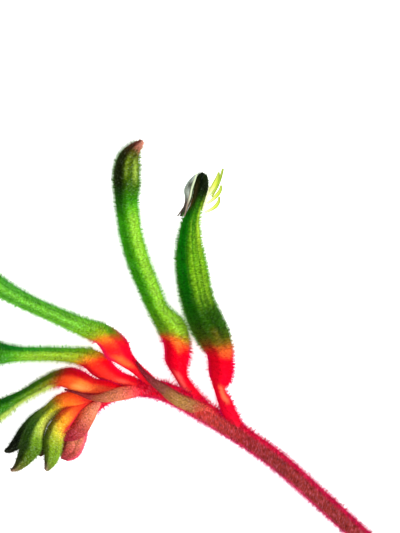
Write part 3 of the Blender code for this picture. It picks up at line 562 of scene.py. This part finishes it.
def growWool(name, skin, layers, seed, finish, size=1.0, bare=noLimit):
    # straight hairs with three sides; the stout ones stay wide for most of their length, none past bare
    chance = np.random.default_rng(seed)
    points, faces, coat, trim, cells = [], [], [], [], []
    for wool in layers:
        here = skin.points[:-1]
        beside = np.roll(here, -1, axis=1) - here
        ahead = skin.points[1:] - here
        normal = np.cross(beside, ahead)
        weight = np.linalg.norm(normal, axis=-1) * (1 + wool["bias"] * skin.coat[:-1, :, 1])
        if wool["stout"]:
            weight = weight * (skin.coat[:-1, :, 0] < bare)
        count = int(weight.sum() * wool["tufts"])
        sown = (np.arange(count) + chance.random(count)) * weight.sum() / count  # evenly over the skin
        pick = np.minimum(np.searchsorted(np.cumsum(weight), sown), weight.size - 1)
        row, side = np.divmod(pick, here.shape[1])
        slide, turn = chance.random((2, len(pick), 1))
        root = here[row, side] + ahead[row, side] * slide + beside[row, side] * turn
        normal = unit(normal[row, side])
        stray = unit(chance.normal(size=root.shape)) * wool["stray"]
        way = unit(normal + skin.heading[row] * wool["lean"] + stray)
        top = root + way * chance.uniform(*wool["length"], size=(len(root), 1)) * size
        for rows in shields if wool["sheltered"] else []:
            gap = np.linalg.norm(top[:, None, :2] - rows[None, :, :2], axis=2)
            near = gap.argmin(axis=1)
            inside = gap[np.arange(len(top)), near] < rows[near, 3] * hairForm["shelter"]
            free = ~(inside & (root[:, 2] < rows[near, 2]) & (normal[:, 2] > 0))
            root, top, normal, row, side = (values[free] for values in (root, top, normal, row, side))
        root, top, normal, ground = (
            np.repeat(values, wool["hairs"], axis=0)
            for values in (root, top, normal, skin.coat[row, side])
        )
        loose = chance.normal(size=root.shape)
        loose = loose - normal * (loose * normal).sum(axis=1, keepdims=True)  # feet spread along the skin
        root = root + loose * wool["foot"] - normal * hairForm["rooted"]
        top = top + chance.normal(size=root.shape) * wool["foot"] * wool["open"]
        top = root + (top - root) * chance.uniform(hairForm["evenness"], 1.0, size=(len(root), 1))
        way = unit(top - root)
        side = unit(np.cross(way, unit(chance.normal(size=root.shape))))
        other = np.cross(way, side)
        angles = (0.0, 2 * math.pi / 3, 4 * math.pi / 3)
        spokes = [side * math.cos(angle) + other * math.sin(angle) for angle in angles]
        corners = [
            root + (top - root) * share + spoke * wool["width"] / 2 * broad * math.sqrt(size)
            for share, broad in wool["rings"] for spoke in spokes
        ]
        block = np.stack([*corners, top], axis=1)
        high = np.array([share for share, broad in wool["rings"] for spoke in spokes] + [1.0])
        worn = np.zeros((*block.shape[:2], 3))
        worn[..., 0] = 1 - 2 * wool["dark"] * high
        worn[..., 1] = wool["pale"] * high
        worn[..., 2] = chance.random((len(block), 1))
        last = len(high) - 4
        pattern = [(last + k, last + (k + 1) % 3, last + 3) for k in range(3)]
        for k in range(last):
            after = (k + 1) % 3
            pattern += [(k, after, 3 + after), (k, 3 + after, 3 + k)]
        start = sum(len(values) for values in points)
        first = start + np.arange(len(block)) * block.shape[1]
        faces.append((first[:, None, None] + np.array(pattern)).reshape(-1, 3))
        points.append(block.reshape(-1, 3))
        coat.append(np.repeat(ground, block.shape[1], axis=0))
        trim.append(worn.reshape(-1, 3))
        cells.append(np.full(len(block), len(pattern)))
    points, faces, cells = np.concatenate(points), np.concatenate(faces), np.concatenate(cells)
    points[:, 2] = np.maximum(points[:, 2], 0.0)
    made = buildMesh(name, points, faces.tolist(), coat, trim, finish)
    grid = math.ceil(math.sqrt(len(cells)))  # each hair has its own cell on the uv map
    corner = np.stack(np.divmod(np.arange(len(cells)), grid), axis=1) / grid
    cell = np.array([[0.1, 0.1], [0.9, 0.1], [0.5, 0.9]]) / grid
    layer = made.data.uv_layers.new(name="OFBake")
    corner = np.repeat(corner, cells, axis=0)[:, None] + cell
    layer.data.foreach_set("uv", corner.astype(np.float32).ravel())
    print(name, len(faces))
    return made


def startFinish(name, gloss):
    # a new material with its shader, and a wire with a point's place along, across and around its skin
    made = bpy.data.materials.new(name)
    made.use_nodes = True
    shader = made.node_tree.nodes["Principled BSDF"]
    shader.inputs["Specular IOR Level"].default_value = gloss
    ground = Wire(made.node_tree).node("ShaderNodeAttribute", {"attribute_name": "coat"}, {}, "Vector")
    return made, shader, ground


def plain(wire, colour):
    made = wire.node("ShaderNodeRGB", {}, {})
    made.socket.default_value = paint(*colour)
    return made


def noise(where, scale, detail):
    return where.node("ShaderNodeTexNoise", {}, {"Vector": where, "Scale": scale, "Detail": detail}, 0)


def emboss(grain, relief):
    return grain.node("ShaderNodeBump", {}, {"Strength": relief[0], "Distance": relief[1], "Height": grain})


def band(reach, start, end, fade):
    # 1 between start and end, with a fade around each
    return reach.soft(start - fade, start + fade) * reach.soft(end + fade, end - fade)


def coatFinish(name, form, span):
    # colours along and around a hairy skin, with painted lit and shaded sides, veins, streaks, painted shade
    # and glints, pale hair tips and a fine nap
    looks = {**coatLooks, **form}
    low, high = span[0] - endRoom, span[-1] + endRoom
    made, shader, ground = startFinish(name, looks["gloss"])
    reach, side, face = ground.parts()
    crest, tip, luck = ground.node("ShaderNodeAttribute", {"attribute_name": "trim"}, {}, "Vector").parts()
    stretched = ground.node("ShaderNodeCombineXYZ", {}, {
        0: (reach + side * looks["slant"]) * looks["fine"], 1: side * looks["nap"], 2: face * looks["nap"],
    })
    grain, cloud, fleck = [noise(stretched, *looks[word]) for word in ("grain", "cloud", "specks")]
    along = reach - side * looks["skew"] * reach.soft(*looks["skewFade"])
    along = along + (grain - 0.5) * looks["blur"] + (luck - 0.5) * 1.2

    def ramp(stops):
        placed = [((at - low) / (high - low), paint(*colour)) for at, *colour in stops]
        return ground.node("ShaderNodeValToRGB", {"stops": placed}, {0: (along - low) / (high - low)})

    red = along.soft(looks["redBelow"], looks["redBelow"] - looks["redFade"])
    shaded = (side + (cloud - 0.5) * 0.3 + red * looks["redShift"]).soft(*looks["shadeSide"])
    colour = ramp(looks["lit"]).mixed(ramp(looks["shade"]), shaded)
    # streaks of the skin's own colours and of painted light and shade
    for line in looks["streaks"]:
        start, end = line["span"]
        aside = ground.maths("ABSOLUTE", side + (cloud - 0.5) * 0.25 - line["at"])
        aside = aside + (end - along) * line["taper"]
        share = aside.soft(line["half"], 0.0) * band(along, start, end, line["fade"])
        colour = colour.mixed(paint(*line["colour"]), share * face.soft(-0.4, 0.2) * line["strength"])
    if "veins" in looks:
        count, strength, (start, end) = looks["veins"]
        angle = ground.maths("ARCTAN2", face, side)
        vein = ground.maths("COSINE", angle * count).soft(0.2, 1.0)
        colour = colour.mixed(paint(*looks["veinColour"]), vein * band(reach, start, end, 4) * strength)
    groove = (1 - crest).soft(0.35, 1.0) * looks["grooveShade"]
    colour = colour.mixed((0.25, 0.3, 0.2, 1.0), groove, "MULTIPLY")
    spike = (1 - crest).soft(0.9, 2.0) * looks["spikeShade"]
    spike = spike * (1 - red * face.soft(0.3, 0.7)) * (1 - red * 0.3)  # weaker on the lit side of a red skin
    colour = colour.mixed((0.3, 0.42, 0.42, 1.0), spike, "MULTIPLY")
    calm = 1 - red * looks["calm"]
    # painted shadows between hairs: dark specks
    dark = fleck.soft(0.54, 0.66) * looks["fleck"] * calm
    colour = colour.mixed(paint(*looks["fleckColour"]), dark, "MULTIPLY")
    # painted glints: pale specks where short hairs catch the light, fewer on the painted shaded side
    hairGlint = fleck.soft(0.48, 0.34) * looks["hairGlint"] * (calm * (1 - shaded * 0.6))
    colour = colour.mixed(paint(*looks["greenGlint"]), (1 - red) * hairGlint)
    colour = colour.mixed(paint(*looks["redGlint"]), red * hairGlint)
    mottle = ((grain - 0.5) * looks["mottle"] + (cloud - 0.5) * 0.5) * calm + 1.0
    mottle = ground.node("ShaderNodeCombineColor", {}, {0: mottle, 1: mottle, 2: mottle})
    colour = colour.mixed(mottle, 1.0, "MULTIPLY")
    # painted backlight: the ends of hairs at the edges take the colour of hairs lit from behind
    rim = ground.maths("ABSOLUTE", side).soft(*looks["rim"])
    hair = plain(ground, looks["greenRim"]).mixed(plain(ground, looks["redRim"]), red)
    # a pink rim on red skin, partly its hairs' own colour and partly a painted glow
    colour = colour.mixed(paint(*looks["blushAndGlowColour"]), rim * red * looks["blush"])
    tint = ground.maths("MINIMUM", tip * 2.0, 1.0) * (luck * 0.5 + 0.75)
    # hair ends painted paler, partly their own colour and partly painted light on them
    colour = colour.mixed((1.5, 1.4, 1.7, 1.0), tint * looks["lift"] * calm, "MULTIPLY")
    colour.mixed(hair, tint * rim * looks["rimTint"]).into(shader, "Base Color")
    (grain * 0.25 + 0.5).into(shader, "Roughness")
    emboss(grain, looks["relief"]).into(shader, "Normal")
    return made


def place(piece, slotName, *nodes):
    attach(piece, "root")
    if nodes:
        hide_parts(*nodes)


def dress(name, ending, slotName, form):
    # a single skin with its wool
    rows = followPath(form["stations"], form["step"])[0]
    reach = arcLength(rows)
    skin = Skin(rows, reach=reach, **form["shape"])
    finish = coatFinish(f"{name}_coat", form, reach)
    place(skinPiece(f"{name}_{ending}", [skin], finish), slotName, name)
    place(growWool(f"{name}_wool", skin, form["wool"], form["seed"], finish), slotName)
    return rows


print("bracts")
bracts = {}
bracts["bract_stem"] = {
    "stations": [
        (-2.6, -2.3, 9.6, 3.2), (-4.6, -1.4, 9.7, 4.6), (-10.8, 1.3, 10.5, 5.2), (-16.2, 3.9, 10.6, 4.9),
        (-20.9, 7.4, 10.9, 3.6), (-25.2, 10.6, 11.7, 2.2), (-28.1, 13.9, 12.7, 1.3), (-29.9, 16.9, 13.3, 0.7),
    ],
    "lit": [
        (0, 252, 84, 80), (2.5, 232, 84, 74), (4.5, 200, 86, 62), (8, 160, 106, 60), (11, 168, 122, 64),
        (14, 164, 122, 60), (17, 150, 100, 54), (20.5, 122, 66, 46), (24, 118, 46, 42), (28, 125, 14, 28),
        (36, 90, 10, 24),
    ],
    "shade": [
        (0, 215, 40, 60), (6, 190, 52, 48), (12, 160, 66, 48), (16, 140, 62, 48), (20, 130, 46, 46),
        (24, 118, 40, 46), (36, 70, 12, 24),
    ],
    "shadeSide": (-0.5, -0.95), "seed": 21,
}
bracts["bract_side"] = {
    "stations": [
        (-27.6, 6.4, 9.0, 1.6), (-29.0, 6.4, 9.3, 3.6), (-32.4, 5.8, 10.1, 4.7), (-36.6, 5.1, 10.9, 4.9),
        (-40.2, 4.3, 11.4, 4.2), (-43.6, 3.8, 11.8, 2.8), (-47.0, 4.2, 12.2, 1.8), (-50.9, 5.6, 12.7, 1.1),
        (-55.6, 6.95, 13.2, 0.7),
    ],
    "lit": [
        (0, 246, 40, 66), (3, 242, 66, 72), (6, 218, 100, 78), (9, 202, 112, 78), (13, 184, 106, 68),
        (16, 162, 88, 54), (20, 138, 38, 30), (28, 95, 12, 18),
    ],
    "shade": [
        (0, 250, 44, 70), (4, 240, 66, 64), (8, 215, 72, 48), (13, 214, 86, 54), (16, 184, 62, 44),
        (20, 134, 34, 34), (28, 70, 10, 18),
    ],
    "shadeSide": (-0.65, -1.0), "seed": 22,
}
bracts["bract_end"] = {
    "stations": [
        (-43.3, 2.6, 9.8, 2.2), (-45.4, 0.2, 10.4, 4.0), (-47.0, -1.9, 10.7, 5.6), (-48.7, -4.1, 10.8, 6.5),
        (-50.8, -6.9, 10.5, 7.0), (-53.4, -9.1, 10.4, 6.0), (-56.4, -10.8, 10.1, 2.4),
    ],
    "lit": [
        (0, 225, 104, 90), (3, 226, 134, 98), (6, 218, 122, 84), (9, 200, 102, 74), (12, 172, 66, 58),
        (16, 150, 36, 46), (18, 138, 25, 42),
    ],
    "shade": [(0, 225, 90, 82), (4, 232, 124, 84), (8, 195, 80, 48), (12, 178, 44, 36), (18, 140, 32, 32)],
    "shadeSide": (-0.1, -0.7), "seed": 23,
}
bractForm = {
    "step": 0.5,
    "shape": {"sides": 40, "thick": 0.8, "arch": 0.2},
    "wool": [
        {**fineWool, "tufts": 4.0, "hairs": 2, "length": (0.25, 0.6), "width": 0.08, "lean": 0.8,
         "open": 0.6},
    ],
    "redBelow": noLimit, "calm": 0.0, "blush": 0.0, "mottle": 2.5, "veins": (26, 0.25, (-6, 60)),
    "veinColour": (110, 55, 40), "fleckColour": (150, 125, 105), "redRim": (245, 90, 110),
}
for name, bract in bracts.items():
    shields.append(dress(name, "leaf", "bract", {**bractForm, **bract}))

# What all blooms share: ribs as in the solids, only finer, and short wool.
bloomForm = {
    "tubeSides": 60, "baseSides": 40, "step": 0.7, "height": 0.95, "lobes": 6, "ribDepth": 0.06,
    "headRibDepth": 0.16, "headLength": 0.24,
    "ribStart": 8.0,  # mm over which the ribs rise out of the round ovary
    "tubeSeed": 10, "baseSeed": 40,
}
tubeWool = [
    {**fineWool, "tufts": 7.5, "bias": 0.15, "length": (0.7, 2.2), "width": 0.075, "lean": 0.2},
    {**stoutWool, "tufts": 0.6, "bias": -0.3, "length": (1.3, 2.1), "width": 0.25, "lean": 0.2, "dark": 0.9},
]
baseWool = [
    {**fineWool, "tufts": 7.0, "bias": -0.4, "length": (0.7, 1.9), "width": 0.065, "lean": 0.1,
     "sheltered": True},
    {**stoutWool, "tufts": 0.6, "bias": -0.85, "length": (1.5, 2.4), "width": 0.27, "lean": -0.1, "dark": 1.0,
     "sheltered": True},
]

print("blooms")
for order, (name, bloom) in enumerate(blooms.items()):
    tubeSlot = "bud" if name.startswith("bud") else "tube"
    tubeSize, baseSize = bloom["woolSize"]
    rows, marks = followPath(bloom["stations"], bloomForm["step"])
    first = marks[bloom["tubeFrom"]]
    reach = arcLength(rows)
    reach = reach - reach[first]
    frames = levelFrames(rows)
    cut = first + 2  # the base runs on a little inside the tube
    base = Skin(rows[:cut], bloomForm["baseSides"], reach[:cut], bloomForm["height"],
                frames=[part[:cut] for part in frames])
    base.points[-1] = (base.points[-1] + base.points[-1].mean(axis=0)) / 2
    share = np.arange(len(rows) - first) / (len(rows) - 1 - first)
    inHead = np.maximum(0.0, (share - 1 + bloomForm["headLength"]) / bloomForm["headLength"])
    ribbed = np.minimum(1.0, (reach[first:] - reach[first]) / bloomForm["ribStart"])
    depth = bloomForm["ribDepth"] * ribbed + (bloomForm["headRibDepth"] - bloomForm["ribDepth"]) * inHead
    tube = Skin(rows[first:], bloomForm["tubeSides"], reach[first:], bloomForm["height"], bloomForm["lobes"],
                depth, frames=[part[first:] for part in frames])
    finish = coatFinish(f"{name}_coat", bloom, reach)
    place(skinPiece(f"{name}_ovary", [base], finish), "ovary", f"{name}_base")
    place(skinPiece(f"{name}_perianth", [tube], finish), tubeSlot, f"{name}_tube")
    seed, bare = bloomForm["tubeSeed"] + order, bloom.get("bareFrom", noLimit)
    place(growWool(f"{name}_tube_wool", tube, tubeWool, seed, finish, tubeSize, bare), tubeSlot)
    seed = bloomForm["baseSeed"] + order
    place(growWool(f"{name}_ovary_wool", base, baseWool, seed, finish, baseSize), "ovary")

print("stem")
stem = {
    "stations": [
        (93.0, -103.0, 2.75, 6.4), (82.0, -81.0, 2.8, 6.3), (67.0, -62.5, 3.1, 6.4), (49.2, -45.0, 3.8, 6.4),
        (35.3, -32.2, 4.5, 6.4), (21.6, -20.0, 5.3, 6.6), (10.8, -12.1, 6.0, 6.7), (0.3, -5.2, 6.5, 7.1),
        (-6.9, -0.9, 6.7, 7.2), (-14.1, 3.2, 6.9, 7.1), (-21.5, 6.2, 7.0, 6.6), (-28.8, 6.7, 7.0, 5.3),
        (-34.2, 5.6, 7.0, 4.2), (-38.9, 3.8, 7.0, 3.3), (-42.8, 1.3, 6.9, 2.8), (-45.8, -1.5, 6.8, 2.4),
    ],
    "shape": {"sides": 48, "height": 1.0},
    "step": 0.9,
    "lit": [
        (0, 138, 48, 42), (112, 142, 47, 44), (126, 152, 42, 44), (134, 172, 54, 50), (141, 190, 62, 54),
        (146, 190, 56, 46), (150, 215, 30, 50), (158, 200, 5, 35), (165, 190, 2, 32), (170, 228, 18, 48),
        (190, 232, 25, 50),
    ],
    "shade": [
        (0, 172, 0, 58), (60, 180, 0, 60), (100, 188, 0, 60), (116, 200, 0, 58), (126, 214, 2, 58),
        (190, 228, 2, 50),
    ],
    "shadeSide": (-0.3, -0.85),
    "streaks": [streak(1.0, 0.4, (-20, 190), (205, 25, 85), 0.9)],
    "redBelow": 400.0, "calm": 0.0, "mottle": 2.1, "nap": 1.3, "slant": 1.6, "hairGlint": 0.16,
    "blush": 0.0, "gloss": 0.03, "rimTint": 0.9, "spikeShade": 0.45, "fleck": 0.5,
    "fleckColour": (165, 75, 75), "redRim": (240, 30, 165),
    "wool": [
        {**fineWool, "tufts": 7.0, "bias": 0.1, "length": (0.8, 2.3), "width": 0.07, "lean": 0.0,
         "stray": 0.5, "sheltered": True},
        {**stoutWool, "tufts": 0.6, "bias": -0.4, "length": (1.5, 2.7), "width": 0.26, "lean": -0.1,
         "stray": 0.35, "dark": 0.8, "sheltered": True},
    ],
    "seed": 3,
}
dress("stem", "skin", "stem", stem)

print("terminal bud")
terminalBud = {
    "stations": [
        (-45.9, -1.5, 6.8, 2.0), (-49.0, -4.8, 6.8, 4.6), (-51.0, -8.4, 6.8, 7.5), (-52.3, -11.8, 6.8, 8.2),
        (-53.7, -15.3, 6.7, 7.7), (-56.3, -17.6, 6.5, 4.7),
    ],
    "shape": {"sides": 48, "height": 0.55, "ribs": 5, "depth": 0.12},
    "step": 0.6,
    "lit": [
        (-4, 205, 95, 80), (8, 188, 84, 66), (12, 214, 122, 90), (16, 190, 82, 70), (20, 165, 50, 60),
        (24, 138, 30, 48),
    ],
    "shade": [(-4, 190, 50, 50), (10, 152, 42, 46), (16, 150, 50, 45), (24, 112, 14, 38)],
    "shadeSide": (-0.45, -0.95),
    "streaks": [streak(1.0, 0.5, (3, 24), (238, 78, 118), 0.75)],
    "redBelow": 100.0, "calm": 0.0, "mottle": 2.5, "blush": 0.25, "redRim": (235, 50, 110),
    "wool": [
        {**fineWool, "tufts": 7.0, "length": (0.5, 1.1), "width": 0.08, "lean": 0.4, "open": 0.5},
        {**stoutWool, "tufts": 0.4, "bias": 0.3, "length": (0.8, 1.4), "width": 0.18, "lean": 0.2,
         "stray": 0.4, "pale": 0.3, "dark": 0.4},
    ],
    "seed": 5,
}
dress("terminal_bud", "skin", "pink_bud", terminalBud)

print("open flower's mouth")
mouth = {
    "line": [
        (-6.5, 84.0, 12.1), (-6.6, 81.7, 12.2), (-7.0, 78.5, 12.3), (-7.7, 75.6, 12.4), (-8.7, 73.1, 12.5),
        (-9.4, 70.9, 12.5), (-9.9, 69.0, 12.5),
    ],
    "closing": 0.4, "thick": 0.5, "sides": 24, "step": 0.4,
}
# the three lower lobes: pale like the rest, painted grey for the shade they lie in
outerLobe = {
    "reach": [1.9, 4.4, 5.5, 4.6, 4.0, 4.2, 4.4],
    "width": [1.6, 2.3, 2.4, 2.2, 1.8, 1.3, 0.6],
    "colour": (150, 160, 140), "tip": (70, 54, 46),
}
# Each lobe's aim round the mouth in degrees, then, from root to tip in mm, its distance from the mouth's line
# and its width.
# Each lobe's colour is its pale colour darkened by painted shade, the more the lower it lies.
lobes = [
    {"aim": -58.0, **outerLobe},
    {"aim": -35.0, **outerLobe},
    {"aim": -12.0, **outerLobe},
    {"aim": 9.0, "reach": [1.9, 4.4, 5.7, 4.7, 3.9, 4.5, 5.3], "width": [0.9, 1.3, 2.0, 1.9, 1.5, 0.9, 0.4],
     "colour": (160, 175, 165), "tip": (95, 72, 62)},
    {"aim": 41.0, "reach": [1.9, 4.1, 5.4, 4.6, 3.8, 3.3, 3.0], "width": [0.8, 1.3, 1.8, 1.6, 1.3, 0.8, 0.4],
     "colour": (176, 186, 174), "tip": (62, 46, 40),
     "fold": {"colour": (50, 58, 40), "at": 5.4, "half": 2.8, "strength": 0.9}},
    {"aim": 58.0, "reach": [3.5, 4.3, 5.0, 4.5, 4.0, 3.6, 3.4], "width": [0.6, 0.8, 0.8, 0.9, 0.9, 0.7, 0.4],
     "colour": (214, 228, 188), "tip": (150, 128, 112),
     "blush": {"colour": (214, 120, 92), "at": 9.0, "half": 2.2, "across": (0.2, -0.6)}},
]
lobeLooks = {
    "tipFrom": (8.0, 12.0),  # mm along, where the tip's colour comes in
    "ragged": 3.0, "rim": (0.75, 0.98), "rimColour": (70, 78, 60), "rimStrength": 0.2,
}
satin = {"rough": 0.55, "gloss": 0.2, "grain": (2.5, 3.0), "relief": (0.3, 0.0002)}


def satinFinish(name, colourOf):
    # a smooth skin whose colour comes from its place along and across, with a fine grain
    made, shader, ground = startFinish(name, satin["gloss"])
    reach, side = ground.parts()[:2]
    grain = noise(ground, *satin["grain"])
    colourOf(reach, side, grain).into(shader, "Base Color")
    shader.inputs["Roughness"].default_value = satin["rough"]
    emboss(grain, satin["relief"]).into(shader, "Normal")
    return made


def lobeSkin(lobe):
    aims = math.radians(lobe["aim"]) * (1 - mouth["closing"] * np.linspace(0, 1, len(mouth["line"])))
    out = np.stack([-np.cos(aims), np.zeros_like(aims), np.sin(aims)], axis=1)
    middles = np.array(mouth["line"]) + out * np.array(lobe["reach"])[:, None]
    rows, marks = followPath(np.column_stack([middles, lobe["width"]]), mouth["step"])
    heading = levelFrames(rows)[0]
    aim = np.interp(np.arange(len(rows)), marks, aims)
    across = np.stack([np.sin(aim), np.zeros_like(aim), np.cos(aim)], axis=1)
    across = unit(across - heading * (across * heading).sum(axis=1, keepdims=True))
    frames = (heading, across, np.cross(heading, across))
    return Skin(rows, mouth["sides"], arcLength(rows), thick=mouth["thick"], frames=frames)


for number, lobe in enumerate(lobes, 1):
    def lobeColour(reach, side, grain):
        turned = (reach + (grain - 0.5) * lobeLooks["ragged"]).soft(*lobeLooks["tipFrom"])
        # the lobe's colour, with its painted shade, turning to its tip's colour
        colour = plain(reach, lobe["colour"]).mixed(paint(*lobe["tip"]), turned)
        if "fold" in lobe:  # painted shade: a dark band across, in the fold
            fold = lobe["fold"]
            share = reach.near(fold["at"], fold["half"]) * fold["strength"]
            colour = colour.mixed(paint(*fold["colour"]), share)
        if "blush" in lobe:
            blush = lobe["blush"]
            share = (reach + grain).near(blush["at"], blush["half"]) * side.soft(*blush["across"])
            colour = colour.mixed(paint(*blush["colour"]), share)
        rim = side.maths("ABSOLUTE", side).soft(*lobeLooks["rim"]) * lobeLooks["rimStrength"]
        return colour.mixed(paint(*lobeLooks["rimColour"]), rim)

    finish = satinFinish(f"lobe_{number}_satin", lobeColour)
    place(skinPiece(f"lobe_{number}", [lobeSkin(lobe)], finish), "lobe", "flower_b_lobes")

# The stamens, in two rows of three. Paths are x, y and width in mm, from the throat to the tip.
stamens = {
    "depth": 12.3, "rowDepth": 1.35, "foot": 0.8, "sides": 20, "step": 0.4, "height": 0.6,
    "paths": [
        [(-4.0, 76.6, 1.1), (-3.2, 78.0, 1.7), (-2.1, 79.8, 2.2), (-1.0, 82.3, 1.7), (-0.45, 84.6, 0.7)],
        [(-4.6, 73.5, 0.8), (-2.8, 74.8, 1.1), (-1.2, 76.4, 1.4), (0.0, 78.1, 1.3), (0.35, 79.9, 0.7)],
        [(-5.4, 70.4, 0.8), (-3.3, 71.3, 1.1), (-1.5, 72.6, 1.4), (-0.5, 74.2, 1.2), (-0.3, 75.8, 0.7)],
    ],
    "length": 9.0,  # mm over which the colours run
    "colours": [(0.0, 252, 253, 232), (0.2, 242, 248, 160), (0.45, 208, 222, 60), (1.0, 140, 165, 28)],
    # painted shade along one side of each thread and a painted highlight along the other
    "edges": [((105, 140, 10), -0.75, 0.5, 0.8), ((232, 240, 130), 0.35, 0.4, 0.6)],
}
throat = {
    "stations": [
        (-3.9, 79.6, 12.3, 1.0), (-4.5, 77.1, 12.3, 1.1), (-5.4, 74.2, 12.4, 1.1), (-6.4, 71.2, 12.5, 0.9),
    ],
    "sides": 24, "height": 2.6,
    "colourFrom": 0.5,  # it takes the stamens' palest colours, from here on
    "colourSpread": 0.05,
}
style = {
    "stations": [
        (-3.0, 75.9, 12.35, 0.8), (-1.4, 79.0, 12.4, 1.1), (-0.3, 81.6, 12.5, 1.2), (0.5, 83.9, 12.6, 1.0),
        (1.0, 85.9, 12.7, 0.8),
    ],
    "sides": 16, "height": 0.7, "colourFrom": 2.0,
}
threadStep = 0.5


def stamenColour(reach, side, grain):
    stops = [(at, paint(*colour)) for at, *colour in stamens["colours"]]
    colour = reach.node("ShaderNodeValToRGB", {"stops": stops}, {0: reach / stamens["length"]})
    # painted shade and highlight along the threads
    for tone, middle, half, strength in stamens["edges"]:
        colour = colour.mixed(paint(*tone), side.near(middle, half) * strength)
    return colour


rows = followPath(throat["stations"], threadStep)[0]
toned = arcLength(rows) * throat["colourSpread"] + throat["colourFrom"]
stamenSkins = [Skin(rows, throat["sides"], toned, throat["height"])]
for row in (-1, 1):
    for path in stamens["paths"]:
        share = np.linspace(stamens["foot"], 1.0, len(path))
        stations = [
            (x, y, stamens["depth"] + row * stamens["rowDepth"] * part, width)
            for (x, y, width), part in zip(path, share)
        ]
        rows = followPath(stations, stamens["step"])[0]
        stamenSkins.append(Skin(rows, stamens["sides"], arcLength(rows), stamens["height"]))
finish = satinFinish("stamen_satin", stamenColour)
place(skinPiece("stamen_comb", stamenSkins, finish), "stamen", "flower_b_stamens")
rows = followPath(style["stations"], threadStep)[0]
styleSkin = Skin(rows, style["sides"], arcLength(rows) + style["colourFrom"], style["height"])
place(skinPiece("style_thread", [styleSkin], finish), "stamen", "flower_b_style")

print("studio")
floorMesh = bpy.data.meshes.new("floor")
reachOut = studio["floorSize"] * mm / 2
corners = [(x * reachOut, y * reachOut, 0) for x, y in ((-1, -1), (1, -1), (1, 1), (-1, 1))]
floorMesh.from_pydata(corners, [], [(0, 1, 2, 3)])
floor = addThing("floor", floorMesh)
floorFinish = bpy.data.materials.new("floor_paper")
floorFinish.use_nodes = True
white = (1.0, 1.0, 1.0, 1.0)
for word, value in {
    "Base Color": (*studio["floorColour"], 1.0), "Roughness": 0.9, "Specular IOR Level": 0.0,
    "Emission Color": white, "Emission Strength": studio["floorGlow"],
}.items():
    floorFinish.node_tree.nodes["Principled BSDF"].inputs[word].default_value = value
floorMesh.materials.append(floorFinish)

world = bpy.data.worlds.new("sky")
world.use_nodes = True
sky = world.node_tree.nodes["Background"]
sky.inputs["Color"].default_value = white
sky.inputs["Strength"].default_value = studio["skyStrength"]
bpy.context.scene.world = world

lampData = bpy.data.lights.new("key", "AREA")
lampData.shape = "DISK"
lampData.size = studio["keySize"] * mm
lampData.energy = studio["keyPower"]
lamp = addThing("key", lampData)
target = np.array([*studio["middle"], studio["flowerHeight"]])
spot = target + np.array(studio["keyFrom"])
lamp.location = (spot * mm).tolist()
toward = unit(target - spot)
lamp.rotation_euler = (math.acos(-toward[2]), 0.0, math.atan2(toward[1], toward[0]) - math.pi / 2)

cameraData = bpy.data.cameras.new("camera")
camera = addThing("camera", cameraData)
cameraData.sensor_fit = "VERTICAL"
cameraData.sensor_height = studio["sensorHeight"]
cameraData.lens = studio["sensorHeight"] * studio["cameraDistance"] / studio["fieldHeight"]
cameraData.clip_end = 20.0
camera.location = ((target + [0.0, 0.0, studio["cameraDistance"]]) * mm).tolist()
bpy.context.scene.camera = camera
bpy.context.scene.view_settings.view_transform = "Standard"
